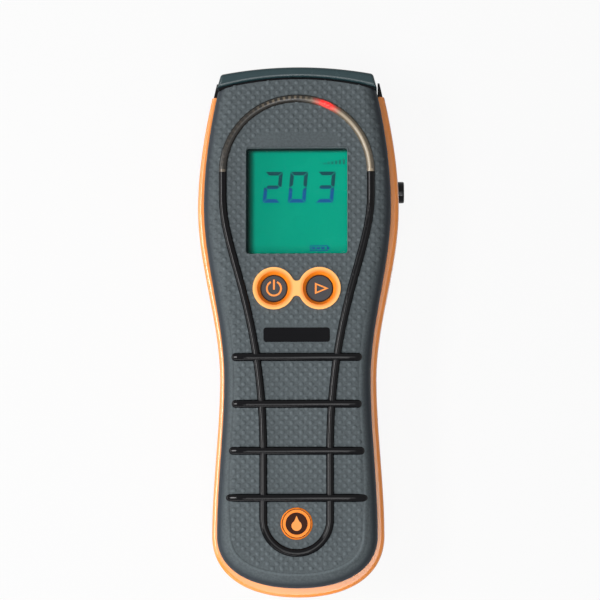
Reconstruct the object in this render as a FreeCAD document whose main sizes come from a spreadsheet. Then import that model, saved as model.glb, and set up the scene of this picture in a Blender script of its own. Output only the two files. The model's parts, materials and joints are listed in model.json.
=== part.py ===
import FreeCAD, Part
import Sketcher
import math
import os
import re
from types import SimpleNamespace

from FreeCAD import Vector

# Hay bale moisture meter, in millimetres. It lies on its back: +Z points out of the display,
# +Y to the probe end, +X to the side with the probe socket. The origin is on the rest plane,
# on the middle plane, half way along the instrument.

SIZES = {
    # Side outline of the casing, given by its half-widths along Y
    "half_length": 90.0,
    "nose_half": 27.7,
    "nose_lean": 0.25,
    "head_half": 34.6,
    "head_drop": 47.0,
    "waist_half": 26.8,
    "waist_place": -16.0,
    "foot_half": 29.4,
    "foot_rise": 21.0,
    "foot_fullness": 0.62,
    # Levels above the rest plane, walls and roundings
    "seam_level": 24.0,
    "face_level": 36.0,
    "split_level": 14.0,
    "casing_wall": 2.2,
    "front_wall": 2.4,
    "back_round": 8.0,
    "rim_round": 1.4,
    "shoulder_round": 5.5,
    "rim_nose": 2.4,
    "rim_head": 2.7,
    "rim_waist": 2.0,
    "rim_foot": 2.3,
    "rim_end": 3.5,
    "ledge_depth": 2.5,
    # Probe end
    "casing_end_drop": 8.6,
    "seam_apex_drop": 3.5,
    "seam_radius": 104.0,
    "seal_depth": 0.8,
    "cap_radius": 139.0,
    "cap_half": 27.2,
    "cap_corner_half": 25.9,
    "cap_edge_round": 1.1,
    "cap_corner_round": 1.4,
    "nose_inset": 0.6,
    "nose_back": 1.5,
    "ear_half": 27.4,
    "ear_reach": 6.0,
    "ear_floor": 6.0,
    "ear_end_drop": 3.8,
    # Keyhole line and light arc
    "arc_drop": 36.0,
    "arc_radius": 25.1,
    "line_half": 1.35,
    "skirt_half": 0.6,
    "fit_gap": 0.05,
    "bend_start_drop": 44.0,
    "bend_pull": 20.0,
    "bend_end": -42.0,
    "bend_ease": 50.0,
    "loop_radius": 11.2,
    "loop_rise": 26.7,
    # Grip ribs
    "rib_half": 1.4,
    "rib_lift": 0.35,
    "rib_gap": 7.53,
    "rib_end_rise": 7.19,
    "rib_count": 4,
    "rib_level_half": 15.0,
    "rib_margin": 6.4,
    "rib_bend": 24.0,
    # Display
    "window_width": 34.3,
    "window_length": 35.9,
    "window_drop": 45.85,
    "window_round": 1.0,
    "lens_margin": 1.6,
    "lens_depth": 1.2,
    "glass_depth": 2.2,
    "frame_wall": 1.2,
    "strip_width": 2.0,
    # Keys
    "key_spacing": 15.4,
    "key_drop": 11.8,
    "key_radius": 4.5,
    "key_gap": 0.15,
    "key_sink": 0.5,
    "key_travel": 0.7,
    "key_flange": 1.0,
    "key_flange_depth": 1.0,
    "key_flange_gap": 0.2,
    "key_dome": 0.3,
    "rim_radius": 7.15,
    "rim_top": 0.8,
    "rim_land": 1.5,
    "rim_slope": 1.5,
    "neck_width": 5.0,
    "surround_flange": 1.2,
    "surround_flange_depth": 1.0,
    "switch_side": 6.0,
    "switch_height": 2.0,
    "plunger_radius": 1.6,
    "plunger_gap": 0.1,
    "plunger_stand": 1.2,
    "switch_floor": 0.5,
    # Plates on the face
    "plate_width": 22.4,
    "plate_length": 4.9,
    "plate_drop": 15.7,
    "plate_depth": 0.8,
    "plate_stand": 0.1,
    "plate_round": 0.9,
    "badge_radius": 5.4,
    "badge_stand": 0.3,
    "badge_rise": 25.3,
    # Probe socket
    "socket_drop": 40.4,
    "socket_level": 13.0,
    "plug_radius": 1.75,
    "plug_fit": 0.05,
    "bore_depth": 14.0,
    "bush_radius": 3.0,
    "bush_gap": 0.1,
    "collar_radius": 3.75,
    "collar_depth": 2.4,
    "collar_round": 0.5,
    "spot_depth": 0.35,
    "jack_side": 9.0,
    "jack_depth": 11.0,
    # Battery space
    "cover_drop": 79.0,
    "cover_gap": 0.2,
    "cover_inset": 0.35,
    "deck_depth": 1.8,
    "deck_level": 18.2,
    "cell_radius": 7.25,
    "cell_length": 49.2,
    "cell_tip": 1.3,
    "cell_tip_radius": 2.75,
    "cell_spacing": 15.4,
    "cell_place": -30.0,
    "cell_rest": 0.7,
    "contact_depth": 0.5,
    "spring_depth": 4.2,
    "spring_radius": 3.6,
    "spring_wire": 0.45,
    "spring_turns": 3.0,
    "grip_count": 5,
    "grip_place": -2.0,
    "grip_pitch": 3.0,
    "grip_width": 22.0,
    "grip_length": 1.2,
    "grip_depth": 0.6,
    "bay_half": 17.0,
    "bay_wall": 1.6,
    # Board and what it carries
    "board_depth": 1.6,
    "board_lift": 0.4,
    "board_inset": 0.8,
    "board_end_drop": 102.0,
    "board_gap": 0.3,
    "led_count": 41,
    "led_side": 1.1,
    "led_depth": 0.7,
    "led_gap": 0.2,
    "chip_side": 10.0,
    "chip_depth": 1.4,
    "chip_drop": 38.0,
    "buzzer_radius": 6.0,
    "buzzer_depth": 4.5,
    "buzzer_drop": 66.0,
    # Screws
    "screw_radius": 1.3,
    "screw_gap": 0.15,
    "screw_head_radius": 2.4,
    "screw_head_depth": 1.6,
    "screw_bite": 6.0,
    "boss_radius": 3.1,
    "head_screw_half": 22.5,
    "head_screw_drop": 15.0,
    "foot_screw_half": 19.0,
    "foot_screw_rise": 16.0,
    "head_screw_sink": 7.0,
    "board_screw_half": 22.3,
    "board_screw_drop": 69.7,
    "board_screw_foot_drop": 98.5,
    "board_boss_radius": 2.4,
}

# Places along Y: the display's, counted from the probe end, with the keys, plate and ribs below it
# in turn, and the foot's, counted from the foot
PLACES = {
    "head_place": "half_length - head_drop",
    "casing_end": "half_length - casing_end_drop",
    "seam_apex": "half_length - seam_apex_drop",
    "ear_end": "half_length - ear_end_drop",
    "arc_place": "half_length - arc_drop",
    "bend_start": "half_length - bend_start_drop",
    "window_place": "half_length - window_drop",
    "socket_place": "half_length - socket_drop",
    "cover_place": "half_length - cover_drop",
    "board_end": "half_length - board_end_drop",
    "chip_place": "half_length - chip_drop",
    "buzzer_place": "half_length - buzzer_drop",
    "head_screw_place": "half_length - head_screw_drop",
    "board_screw_place": "half_length - board_screw_drop",
    "board_screw_foot": "half_length - board_screw_foot_drop",
    "foot_place": "foot_rise - half_length",
    "loop_place": "loop_rise - half_length",
    "badge_place": "badge_rise - half_length",
    "foot_screw_place": "foot_screw_rise - half_length",
    "key_place": "window_place - window_length / 2 - key_drop",
    "plate_place": "key_place - plate_drop",
    "rib_place": "plate_place - rib_gap",
    "rib_pitch": "(rib_place - loop_place - rib_end_rise) / (rib_count - 1)",
}

REACH = 400.0  # longer than the instrument: used by tools that cut right across it
SLACK = 0.001  # how closely an edge is matched to a level

doc = FreeCAD.newDocument("HayBaleMoistureMeter")
sheet = doc.addObject("Spreadsheet::Sheet", "Dims")
for row, (alias, number) in enumerate(SIZES.items(), start=1):
    sheet.set(f"A{row}", alias)
    sheet.set(f"B{row}", str(number))
    sheet.setAlias(f"B{row}", alias)
for row, (alias, rule) in enumerate(PLACES.items(), start=len(SIZES) + 1):
    sheet.set(f"A{row}", alias)
    sheet.set(f"B{row}", "=" + rule)
    sheet.setAlias(f"B{row}", alias)
doc.recompute()
S = SimpleNamespace(**{alias: float(sheet.get(alias)) for alias in [*SIZES, *PLACES]})
nodes = []


# Bindings and primitives

def bind(item, target, rule):
    """Binds one property to a rule written in the sheet's aliases."""
    item.setExpression(target, re.sub(r"\b[a-z]\w*\b", r"Dims.\g<0>", rule))


def locate(item, x="0", y="0", z="0"):
    """Binds an object's place to three rules."""
    for axis, rule in zip("xyz", (x, y, z)):
        bind(item, f"Placement.Base.{axis}", rule)


def box(name, x, y, z, width, length, height):
    """A block centred on x, from y and z upwards."""
    item = doc.addObject("Part::Box", name)
    bind(item, "Length", width)
    bind(item, "Width", length)
    bind(item, "Height", height)
    locate(item, f"({x}) - ({width}) / 2", y, z)
    return item


def cylinder(name, radius, height, x="0", y="0", z="0"):
    """An upright cylinder standing on its place."""
    item = doc.addObject("Part::Cylinder", name)
    bind(item, "Radius", radius)
    bind(item, "Height", height)
    locate(item, x, y, z)
    return item


def lying_cylinder(name, radius, length, x, y, z):
    """A cylinder along +X from its place."""
    item = doc.addObject("Part::Cylinder", name)
    item.Placement.Rotation = FreeCAD.Rotation(Vector(0, 1, 0), 90)
    bind(item, "Radius", radius)
    bind(item, "Height", length)
    locate(item, x, y, z)
    return item


def fuse(name, items):
    item = doc.addObject("Part::MultiFuse", name)
    item.Shapes = items
    return item


def common(name, items):
    item = doc.addObject("Part::MultiCommon", name)
    item.Shapes = items
    return item


def cut(name, base, tools):
    """The base less every tool."""
    item = doc.addObject("Part::Cut", name)
    item.Base = base
    item.Tool = tools[0] if len(tools) == 1 else fuse(name + "_tools", tools)
    return item


def group(name, items):
    """Several equal solids kept as one node."""
    item = doc.addObject("Part::Compound", name)
    item.Links = items
    return item


def keep(item, label):
    """Marks an object as a finished piece."""
    item.Label = label
    nodes.append(item)
    return item


# Sketches and bodies

def sketch_on(body, name, role, lift=None):
    """A sketch on one of the body's own origin planes, lifted by a rule."""
    sketch = body.newObject("Sketcher::SketchObject", name)
    plane = [item for item in body.Origin.OriginFeatures if item.Role == role][0]
    sketch.AttachmentSupport = [(plane, "")]
    sketch.MapMode = "FlatFace"
    if lift:
        bind(sketch, "AttachmentOffset.Base.z", lift)
    return sketch


def pad(body, name, sketch, height):
    feature = body.newObject("PartDesign::Pad", name)
    feature.Profile = sketch
    bind(feature, "Length", height)
    sketch.Visibility = False
    doc.recompute()
    return feature


def round_edges(body, name, feature, wanted, radius):
    """Rounds the edges of a feature that the test accepts."""
    edges = [f"Edge{i}" for i, edge in enumerate(feature.Shape.Edges, start=1) if wanted(edge)]
    fillet = body.newObject("PartDesign::Fillet", name)
    fillet.Base = (feature, edges)
    bind(fillet, "Radius", radius)
    doc.recompute()
    return fillet


def rounded_block(name, y, z, width, length, height, radius):
    """A block with rounded upright corners, centred on the middle plane and on a place along Y."""
    body = doc.addObject("PartDesign::Body", name)
    sketch = sketch_on(body, name + "_outline", "XY_Plane")
    corners = [Vector(x, y, 0) for x, y in ((-5, -5), (5, -5), (5, 5), (-5, 5))]
    sides = [sketch.addGeometry(Part.LineSegment(start, end))
             for start, end in zip(corners, corners[1:] + corners[:1])]
    for side, after in zip(sides, sides[1:] + sides[:1]):
        sketch.addConstraint(Sketcher.Constraint("Coincident", side, 2, after, 1))
    for side, kind in zip(sides, ("Horizontal", "Vertical", "Horizontal", "Vertical")):
        sketch.addConstraint(Sketcher.Constraint(kind, side))
    sketch.addConstraint(Sketcher.Constraint("Symmetric", sides[0], 1, sides[1], 2, -1, 1))
    for label, kind, side, rule in (("width", "DistanceX", 0, width), ("length", "DistanceY", 1, length)):
        index = sketch.addConstraint(Sketcher.Constraint(kind, sides[side], 1, sides[side], 2, 10.0))
        sketch.renameConstraint(index, label)
        bind(sketch, f"Constraints.{label}", rule)
    slab = pad(body, name + "_slab", sketch, height)
    depth = slab.Shape.BoundBox.ZLength
    round_edges(body, name + "_corners", slab, lambda edge: edge.BoundBox.ZLength > depth - SLACK, radius)
    locate(body, "0", y, z)
    return body


def turned(name, profile):
    """A piece turned about its own Z axis from (radius, height) corners."""
    body = doc.addObject("PartDesign::Body", name)
    sketch = sketch_on(body, name + "_profile", "XZ_Plane")
    corners = [Vector(radius, height, 0) for radius, height in profile]
    for start, end in zip(corners, corners[1:] + corners[:1]):
        sketch.addGeometry(Part.LineSegment(start, end))
    turn = body.newObject("PartDesign::Revolution", name + "_turn")
    turn.Profile = sketch
    turn.ReferenceAxis = (sketch, ["V_Axis"])
    turn.Angle = 360.0
    sketch.Visibility = False
    return body


# Outline of the casing

def stations(inset, rim):
    """Outline points down the right side, within the rim or not: half-width, place and lean there."""
    return [
        (S.nose_half - rim * S.rim_nose - inset, S.half_length, -S.nose_lean),
        (S.head_half - rim * S.rim_head - inset, S.head_place, 0.0),
        (S.waist_half - rim * S.rim_waist - inset, S.waist_place, 0.0),
        (S.foot_half - rim * S.rim_foot - inset, S.foot_place, 0.0),
    ]


def half_width(place):
    """Half-width of the casing at a place along Y, above the foot."""
    spans = stations(0.0, False)
    for (x0, y0, lean0), (x1, y1, lean1) in zip(spans, spans[1:]):
        if y1 <= place <= y0:
            run = y1 - y0
            part = (place - y0) / run
            near = (1 + 2 * part) * (1 - part) ** 2
            far = part ** 2 * (3 - 2 * part)
            bend = part * (1 - part) ** 2 * lean0 - part ** 2 * (1 - part) * lean1
            return near * x0 + far * x1 + run * bend
    return S.foot_half


def side_curves(inset, rim):
    """Right side of the outline as smooth spans, from the nose to the foot's middle."""
    curves = []
    points = stations(inset, rim)
    for (x0, y0, lean0), (x1, y1, lean1) in zip(points, points[1:]):
        third = (y1 - y0) / 3
        curves.append([(x0, y0), (x0 + lean0 * third, y0 + third),
                       (x1 - lean1 * third, y1 - third), (x1, y1)])
    x, y, lean = points[-1]
    end = rim * S.rim_end + inset - S.half_length
    curves.append([(x, y), (x, y + S.foot_fullness * (end - y)), (x * S.foot_fullness, end), (0.0, end)])
    return curves


def bezier(poles):
    curve = Part.BezierCurve()
    curve.setPoles([Vector(x, y, 0) for x, y in poles])
    return curve.toBSpline()


def draw_outline(sketch, inset, rim):
    """Draws the closed outline, set in from the casing's or from the edge inside its rim."""
    for poles in side_curves(inset, rim):
        sketch.addGeometry(bezier(poles))
        sketch.addGeometry(bezier([(-x, y) for x, y in poles]))
    top = S.nose_half - rim * S.rim_nose - inset
    sketch.addGeometry(Part.LineSegment(Vector(-top, S.half_length, 0), Vector(top, S.half_length, 0)))


def hull(name, inset, floor, height, back=None, front=None, rim=False):
    """A slab with the instrument's outline, its long edges rounded at the back or the front."""
    body = doc.addObject("PartDesign::Body", name)
    sketch = sketch_on(body, name + "_outline", "XY_Plane", floor)
    draw_outline(sketch, inset, rim)
    feature = pad(body, name + "_slab", sketch, height)
    levels = feature.Shape.BoundBox

    def on_curve_at(level):
        def wanted(edge):
            bounds = edge.BoundBox
            level_edge = abs(bounds.ZMin - level) < SLACK and abs(bounds.ZMax - level) < SLACK
            return level_edge and isinstance(edge.Curve, Part.BSplineCurve)
        return wanted

    if back:
        feature = round_edges(body, name + "_back", feature, on_curve_at(levels.ZMin), back)
    if front:
        feature = round_edges(body, name + "_front", feature, on_curve_at(levels.ZMax), front)
    return body


def zone(name, start, end, floor="0", height="face_level"):
    """A block across the whole width between two places along Y."""
    return box(name, "0", start, floor, str(REACH), f"({end}) - ({start})", height)


def within_seam(name, body, drop):
    """The part of a body inside the arched seam, less a drop below it."""
    disc = cylinder(name + "_disc", f"seam_radius - ({drop})", "face_level * 2",
                    y="seam_apex - seam_radius", z="-face_level / 2")
    return common(name, [body, disc])


# Keyhole line and light arc

def keyhole_path(body):
    """Open path from the right end of the light arc, down, round the foot and up again."""
    path = sketch_on(body, "keyhole_path", "XY_Plane", "face_level")
    for side in (1, -1):
        x = side * S.arc_radius
        path.addGeometry(Part.LineSegment(Vector(x, S.arc_place, 0), Vector(x, S.bend_start, 0)))
        inner = side * S.loop_radius
        poles = [(x, S.bend_start), (x, S.bend_start - S.bend_pull),
                 (inner, S.bend_end + S.bend_ease), (inner, S.bend_end)]
        path.addGeometry(bezier(poles))
        path.addGeometry(Part.LineSegment(Vector(inner, S.bend_end, 0), Vector(inner, S.loop_place, 0)))
    loop = Part.Circle(Vector(0, S.loop_place, 0), Vector(0, 0, 1), S.loop_radius)
    path.addGeometry(Part.ArcOfCircle(loop, math.pi, 2 * math.pi))
    return path


def keyhole():
    """Round line swept along the keyhole path, its lower half sunk in the face."""
    body = doc.addObject("PartDesign::Body", "keyhole_body")
    path = keyhole_path(body)
    section = sketch_on(body, "keyhole_section", "XZ_Plane", "-arc_place")
    section.addGeometry(Part.Circle(Vector(S.arc_radius, S.face_level, 0), Vector(0, 0, 1), S.line_half))
    doc.recompute()
    pipe = body.newObject("PartDesign::AdditivePipe", "keyhole_sweep")
    pipe.Profile = section
    pipe.Spine = (path, [f"Edge{i}" for i in range(1, len(path.Shape.Edges) + 1)])
    path.Visibility = False
    section.Visibility = False
    return body


def light_arc(name, half, floor, height):
    """Half ring over the display, from a floor up by a height."""
    outer = cylinder(name + "_outer", f"arc_radius + {half}", height, y="arc_place", z=floor)
    inner = cylinder(name + "_inner", f"arc_radius - {half}", height, y="arc_place", z=floor)
    for item in (outer, inner):
        item.Angle = 180.0
    return cut(name, outer, [inner])


def light_bead():
    """Half-round crown of the light arc."""
    item = doc.addObject("Part::Torus", "light_bead")
    bind(item, "Radius1", "arc_radius")
    bind(item, "Radius2", "line_half")
    item.Angle3 = 180.0
    locate(item, y="arc_place", z="face_level")
    return item


def rib_turn(number):
    """How far a rib bends down over a shoulder: its ends keep a margin inside the outline."""
    reach = half_width(S.rib_place - S.rib_pitch * number) - S.rib_margin
    return (reach - S.rib_level_half) / S.rib_bend


def rib_end(number, side):
    """Round end of a rib, low on the shoulder."""
    turn = rib_turn(number)
    ball = doc.addObject("Part::Sphere", f"rib_{number}_end_{'right' if side > 0 else 'left'}")
    bind(ball, "Radius", "rib_half")
    reach = S.rib_level_half + S.rib_bend * math.sin(turn)
    drop = S.rib_bend * (1 - math.cos(turn))
    locate(ball, f"{side * reach}", f"rib_place - rib_pitch * {number}", f"face_level + rib_lift - {drop}")
    return ball


def rib(number):
    """One grip rib: level over the face, bent down over both shoulders, with round ends."""
    name = f"rib_{number}"
    body = doc.addObject("PartDesign::Body", name)
    place = f"rib_place - rib_pitch * {number}"
    path = sketch_on(body, name + "_path", "XZ_Plane", f"-({place})")
    level = S.face_level + S.rib_lift
    turn = rib_turn(number)
    path.addGeometry(Part.LineSegment(Vector(-S.rib_level_half, level, 0), Vector(S.rib_level_half, level, 0)))
    for side in (1, -1):
        bend = Part.Circle(Vector(side * S.rib_level_half, level - S.rib_bend, 0), Vector(0, 0, 1), S.rib_bend)
        start = math.pi / 2 - turn if side > 0 else math.pi / 2
        path.addGeometry(Part.ArcOfCircle(bend, start, start + turn))
    section = sketch_on(body, name + "_section", "YZ_Plane")
    middle = S.rib_place - S.rib_pitch * number
    section.addGeometry(Part.Circle(Vector(middle, level, 0), Vector(0, 0, 1), S.rib_half))
    doc.recompute()
    pipe = body.newObject("PartDesign::AdditivePipe", name + "_sweep")
    pipe.Profile = section
    pipe.Spine = (path, [f"Edge{i}" for i in range(1, len(path.Shape.Edges) + 1)])
    path.Visibility = False
    section.Visibility = False
    return fuse(name + "_whole", [body, rib_end(number, -1), rib_end(number, 1)])


# Shared levels, as rules and as numbers

BOARD_TOP = "(seam_level + board_lift + board_depth)"
BOARD_UNDER = "(seam_level + board_lift)"
CEILING = "(face_level - front_wall)"
CELL_LEVEL = "(casing_wall + cell_rest + cell_radius)"
board_top = S.seam_level + S.board_lift + S.board_depth
ceiling = S.face_level - S.front_wall
seam_centre = S.seam_apex - S.seam_radius
flank = half_width(S.socket_place)
bay_half_length = (S.cell_length + S.cell_tip + S.spring_depth) / 2 + S.contact_depth
HEAD_SCREWS = [("head_screw_half", "head_screw_place"), ("-head_screw_half", "head_screw_place")]
FOOT_SCREWS = [("foot_screw_half", "foot_screw_place"), ("-foot_screw_half", "foot_screw_place")]
BOARD_SCREWS = [("board_screw_half", "board_screw_place"), ("-board_screw_half", "board_screw_place"),
                ("0", "board_screw_foot")]
KEYS = {"power": "-key_spacing / 2", "select": "key_spacing / 2"}


def columns(name, places, radius, floor, height):
    """Upright cylinders at several places."""
    return [cylinder(f"{name}_{number}", radius, height, x, y, floor)
            for number, (x, y) in enumerate(places)]


# Front cover

def figure_eight(name, extra, floor, height):
    """Two discs round the keys and a straight neck between them."""
    discs = [cylinder(f"{name}_{key}", f"rim_radius + {extra}", height, x, "key_place", floor)
             for key, x in KEYS.items()]
    width = f"neck_width + 2 * {extra}"
    neck = box(name + "_neck", "0", f"key_place - ({width}) / 2", floor, "key_spacing", width, height)
    return fuse(name, discs + [neck])


def flowing_eight(name, extra, floor, height):
    """Two discs round the keys, drawn together by a neck whose hollows run into both discs."""
    discs = [cylinder(f"{name}_{key}", f"rim_radius + {extra}", height, x, "key_place", floor)
             for key, x in KEYS.items()]
    lead = "(rim_radius - neck_width / 2)"
    hollow = f"((key_spacing ^ 2 / 4 - {lead} ^ 2) / (2 * {lead}))"
    meet = f"({hollow} * (rim_radius + {extra}) / ({hollow} + {lead}))"
    block = box(name + "_neck", "0", f"key_place - {meet}", floor, "key_spacing", f"2 * {meet}", height)
    hollows = [cylinder(f"{name}_hollow_{side}", f"{hollow} - neck_width / 2 - {extra}", height, "0",
                        f"key_place {sign} {hollow}", floor)
               for side, sign in (("head", "+"), ("foot", "-"))]
    return fuse(name, discs + [cut(name + "_waist", block, hollows)])


def window_block(name, margin, floor, height):
    """A block of the window's size plus a margin all round."""
    return rounded_block(name, "window_place", floor, f"window_width + 2 * ({margin})",
                         f"window_length + 2 * ({margin})", height, "window_round")


def front_cover(trim, ribs, bead):
    blank = hull("front_blank", 0.0, "seam_level", "face_level - seam_level", front="shoulder_round",
                 rim=True)
    outside = within_seam("front_outside", blank, "seal_depth")
    core = hull("front_core", S.casing_wall, "seam_level - casing_wall",
                f"{CEILING} - seam_level + casing_wall", front="shoulder_round - front_wall", rim=True)
    inside = within_seam("front_inside", core, "seal_depth + casing_wall")
    shell = cut("front_shell", outside, [inside])
    posts = columns("front_post", HEAD_SCREWS + FOOT_SCREWS, "boss_radius", "seam_level",
                    f"{CEILING} - seam_level")
    posts += columns("board_post", BOARD_SCREWS, "board_boss_radius", BOARD_TOP, f"{CEILING} - {BOARD_TOP}")
    body = fuse("front_body", [shell] + posts)
    holes = [
        window_block("front_window", "0", "seam_level", "face_level"),
        flowing_eight("front_key_hole", "fit_gap", "seam_level", "face_level"),
        light_arc("front_slot", "(skirt_half + fit_gap)", "seam_level", "face_level"),
        rounded_block("front_plate_seat", "plate_place", "face_level - plate_depth", "plate_width",
                      "plate_length", "face_level", "plate_round"),
        cylinder("front_badge_seat", "badge_radius", "face_level", "0", "badge_place",
                 "face_level - plate_depth"),
    ]
    holes += columns("front_pilot", HEAD_SCREWS + FOOT_SCREWS, "screw_radius", "seam_level - screw_bite",
                     "screw_bite * 2 + screw_gap")
    holes += columns("board_pilot", BOARD_SCREWS, "screw_radius", BOARD_UNDER, "screw_bite + screw_gap")
    return keep(cut("front_cover_solid", body, holes + [trim, bead] + ribs), "front_cover")


# Rear casing and battery cover

def rear_casing():
    blank = hull("casing_blank", 0.0, "0", "seam_level", "back_round", "rim_round")
    bulkhead = "cover_place + casing_wall"
    wall = S.casing_wall
    head_core = hull("head_core", wall, "casing_wall", "seam_level - casing_wall - ledge_depth",
                     "back_round - casing_wall")
    head_space = common("head_space", [head_core, zone("head_zone", bulkhead, "casing_end - casing_wall")])
    rim_core = hull("rim_core", wall, "deck_level + deck_depth", "seam_level", rim=True)
    rim_space = common("rim_space", [rim_core, zone("rim_zone", "-half_length", "casing_end - casing_wall")])
    bay_core = hull("bay_core", wall, "0", "deck_level")
    bay_space = common("bay_space", [bay_core, zone("bay_zone", "-half_length", "cover_place")])
    tools = [
        head_space, rim_space, bay_space,
        zone("cover_space", "-half_length * 2", "cover_place", "-casing_wall", "split_level + casing_wall"),
        zone("nose_space", "casing_end", "half_length * 2", "-casing_wall", "face_level * 2"),
    ]
    shell = cut("casing_shell", blank, tools)
    bay_length = f"({bay_half_length})"
    parts = [shell]
    parts += columns("head_boss", HEAD_SCREWS, "screw_head_radius + casing_wall", "casing_wall / 2",
                     "seam_level - casing_wall / 2")
    parts += columns("foot_boss", FOOT_SCREWS, "boss_radius", "deck_level", "seam_level - deck_level")
    for side, shift in (("foot", f"-{bay_length} - bay_wall"), ("head", bay_length)):
        parts.append(box(f"bay_wall_{side}", "0", f"cell_place + {shift}", "casing_wall + cell_rest",
                         "bay_half * 2", "bay_wall", "deck_level - casing_wall - cell_rest"))
    body = fuse("casing_body", parts)
    holes = columns("head_counterbore", HEAD_SCREWS, "screw_head_radius + screw_gap", "-casing_wall",
                    "head_screw_sink + casing_wall")
    holes += columns("casing_hole", HEAD_SCREWS + FOOT_SCREWS, "screw_radius + screw_gap", "-casing_wall",
                     "face_level")
    holes.append(lying_cylinder("socket_hole", "bush_radius + bush_gap", "head_half / 2",
                                f"{flank} - head_half / 4", "socket_place", "socket_level"))
    holes.append(lying_cylinder("socket_spot", "collar_radius + screw_gap", "head_half / 4",
                                f"{flank} - spot_depth", "socket_place", "socket_level"))
    return keep(cut("rear_casing_solid", body, holes), "rear_casing")


def battery_cover():
    blank = hull("cover_blank", S.cover_inset, "0", "split_level - cover_gap", "back_round")
    core = hull("cover_core", S.cover_inset + S.casing_wall, "casing_wall", "split_level",
                "back_round - casing_wall")
    head = zone("cover_head", "cover_place - cover_gap", "half_length * 2", "-casing_wall", "face_level")
    grips = [box(f"cover_grip_{number}", "0", f"grip_place - grip_pitch * {number}", "-grip_depth",
                 "grip_width", "grip_length", "grip_depth * 2") for number in range(int(S.grip_count))]
    return keep(cut("battery_cover_solid", blank, [core, head] + grips), "battery_cover")


# Probe end

def nose_block():
    core = hull("nose_core", S.nose_inset, "nose_back", "seam_level - nose_back", "back_round - nose_back")
    end = zone("nose_zone", "casing_end", "half_length")
    block = common("nose_main", [within_seam("nose_within", core, "seal_depth"), end])
    ears = [common(f"ear_{side}", [core, box(f"ear_zone_{side}", f"{sign}(ear_half + ear_reach / 2)",
                                             "casing_end", "ear_floor", "ear_reach", "ear_end - casing_end",
                                             "seam_level - ear_floor")])
            for side, sign in (("left", "-"), ("right", ""))]
    return keep(fuse("nose_block_solid", [block] + ears), "nose_block")


def arc_between(start, end, centre_y, radius):
    """An arc about a centre on the middle plane, from one point to another over the middle."""
    return Part.Arc(start, Vector(0, centre_y + radius, 0), end)


def end_band(name, near_radius, far_radius, near_half, far_half, floor, height):
    """A slab between two arched edges across the probe end; each radius comes with its centre."""
    body = doc.addObject("PartDesign::Body", name)
    sketch = sketch_on(body, name + "_outline", "XY_Plane", floor)
    corners = []
    for (centre, radius), half in ((near_radius, near_half), (far_radius, far_half)):
        level = centre + math.sqrt(radius ** 2 - half ** 2)
        left, right = Vector(-half, level, 0), Vector(half, level, 0)
        sketch.addGeometry(arc_between(left, right, centre, radius))
        corners.append((left, right))
    for near, far in zip(*corners):
        sketch.addGeometry(Part.LineSegment(near, far))
    return body, pad(body, name + "_slab", sketch, height)


def top_end_cap():
    cap_centre = S.half_length - S.cap_radius
    body, slab = end_band("end_cap", (seam_centre, S.seam_radius), (cap_centre, S.cap_radius),
                          S.cap_half, S.cap_corner_half, "nose_back", "face_level - nose_back")
    bounds = slab.Shape.BoundBox
    corner = cap_centre + math.sqrt(S.cap_radius ** 2 - S.cap_corner_half ** 2)

    def outer_corner(edge):
        upright = edge.BoundBox.ZLength > bounds.ZLength - SLACK
        return upright and abs(edge.BoundBox.YMin - corner) < SLACK

    def at_an_end(edge):
        low, high = edge.BoundBox.ZMin, edge.BoundBox.ZMax
        return high - low < SLACK and (low > bounds.ZMax - SLACK or high < bounds.ZMin + SLACK)

    cornered = round_edges(body, "end_cap_corners", slab, outer_corner, "cap_corner_round")
    round_edges(body, "end_cap_round", cornered, at_an_end, "cap_edge_round")
    return keep(body, "top_end_cap")


def end_seal():
    near = (seam_centre, S.seam_radius - S.seal_depth)
    half = S.cap_half - S.nose_inset
    body, slab = end_band("seal_band", near, (seam_centre, S.seam_radius), half, half,
                          "nose_back + seal_depth", "face_level - nose_back - 2 * seal_depth")
    return keep(body, "end_seal")


# Light arc, display and keys

def light_pipe(bead):
    floor = f"({BOARD_TOP} + led_depth + led_gap)"
    skirt = light_arc("light_skirt", "skirt_half", floor, f"face_level - {floor}")
    return keep(fuse("light_pipe_solid", [skirt, bead]), "light_pipe")


def bar_leds():
    """Small LEDs on the board, evenly spaced along the light arc."""
    leds = []
    for number in range(int(S.led_count)):
        led = Part.makeBox(S.led_side, S.led_side, S.led_depth, Vector(-S.led_side / 2, -S.led_side / 2, 0))
        led.translate(Vector(S.arc_radius, 0, board_top))
        led.rotate(Vector(0, 0, 0), Vector(0, 0, 1), 180.0 * (number + 0.5) / S.led_count)
        led.translate(Vector(0, S.arc_place, 0))
        leds.append(led)
    item = doc.addObject("Part::Feature", "led_row")
    item.Shape = Part.makeCompound(leds)
    return keep(item, "bar_leds")


def display():
    margin = "lens_margin"
    glass_top = f"({CEILING} - lens_depth)"
    glass_floor = f"({CEILING} - lens_depth - glass_depth)"
    keep(window_block("lens_block", margin, glass_top, "lens_depth"), "display_window")
    keep(window_block("glass_block", margin, glass_floor, "glass_depth"), "lcd_glass")
    outer = window_block("frame_outer", f"{margin} + frame_wall", BOARD_TOP, f"{CEILING} - {BOARD_TOP}")
    inner = window_block("frame_inner", margin, BOARD_TOP, f"{CEILING} - {BOARD_TOP}")
    keep(cut("frame_ring", outer, [inner]), "lcd_frame")
    rise = f"{glass_floor} - {BOARD_TOP}"
    light_length = "(window_length + 2 * lens_margin - 2 * strip_width)"
    width = "window_width + 2 * lens_margin"
    keep(box("light_block", "0", f"window_place - {light_length} / 2", BOARD_TOP, width, light_length, rise),
         "lcd_backlight")
    strips = [box(f"strip_{side}", "0", f"window_place {shift}", BOARD_TOP, "window_width", "strip_width", rise)
              for side, shift in (("foot", f"- {light_length} / 2 - strip_width"),
                                  ("head", f"+ {light_length} / 2"))]
    keep(group("strip_pair", strips), "lcd_connectors")


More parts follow.
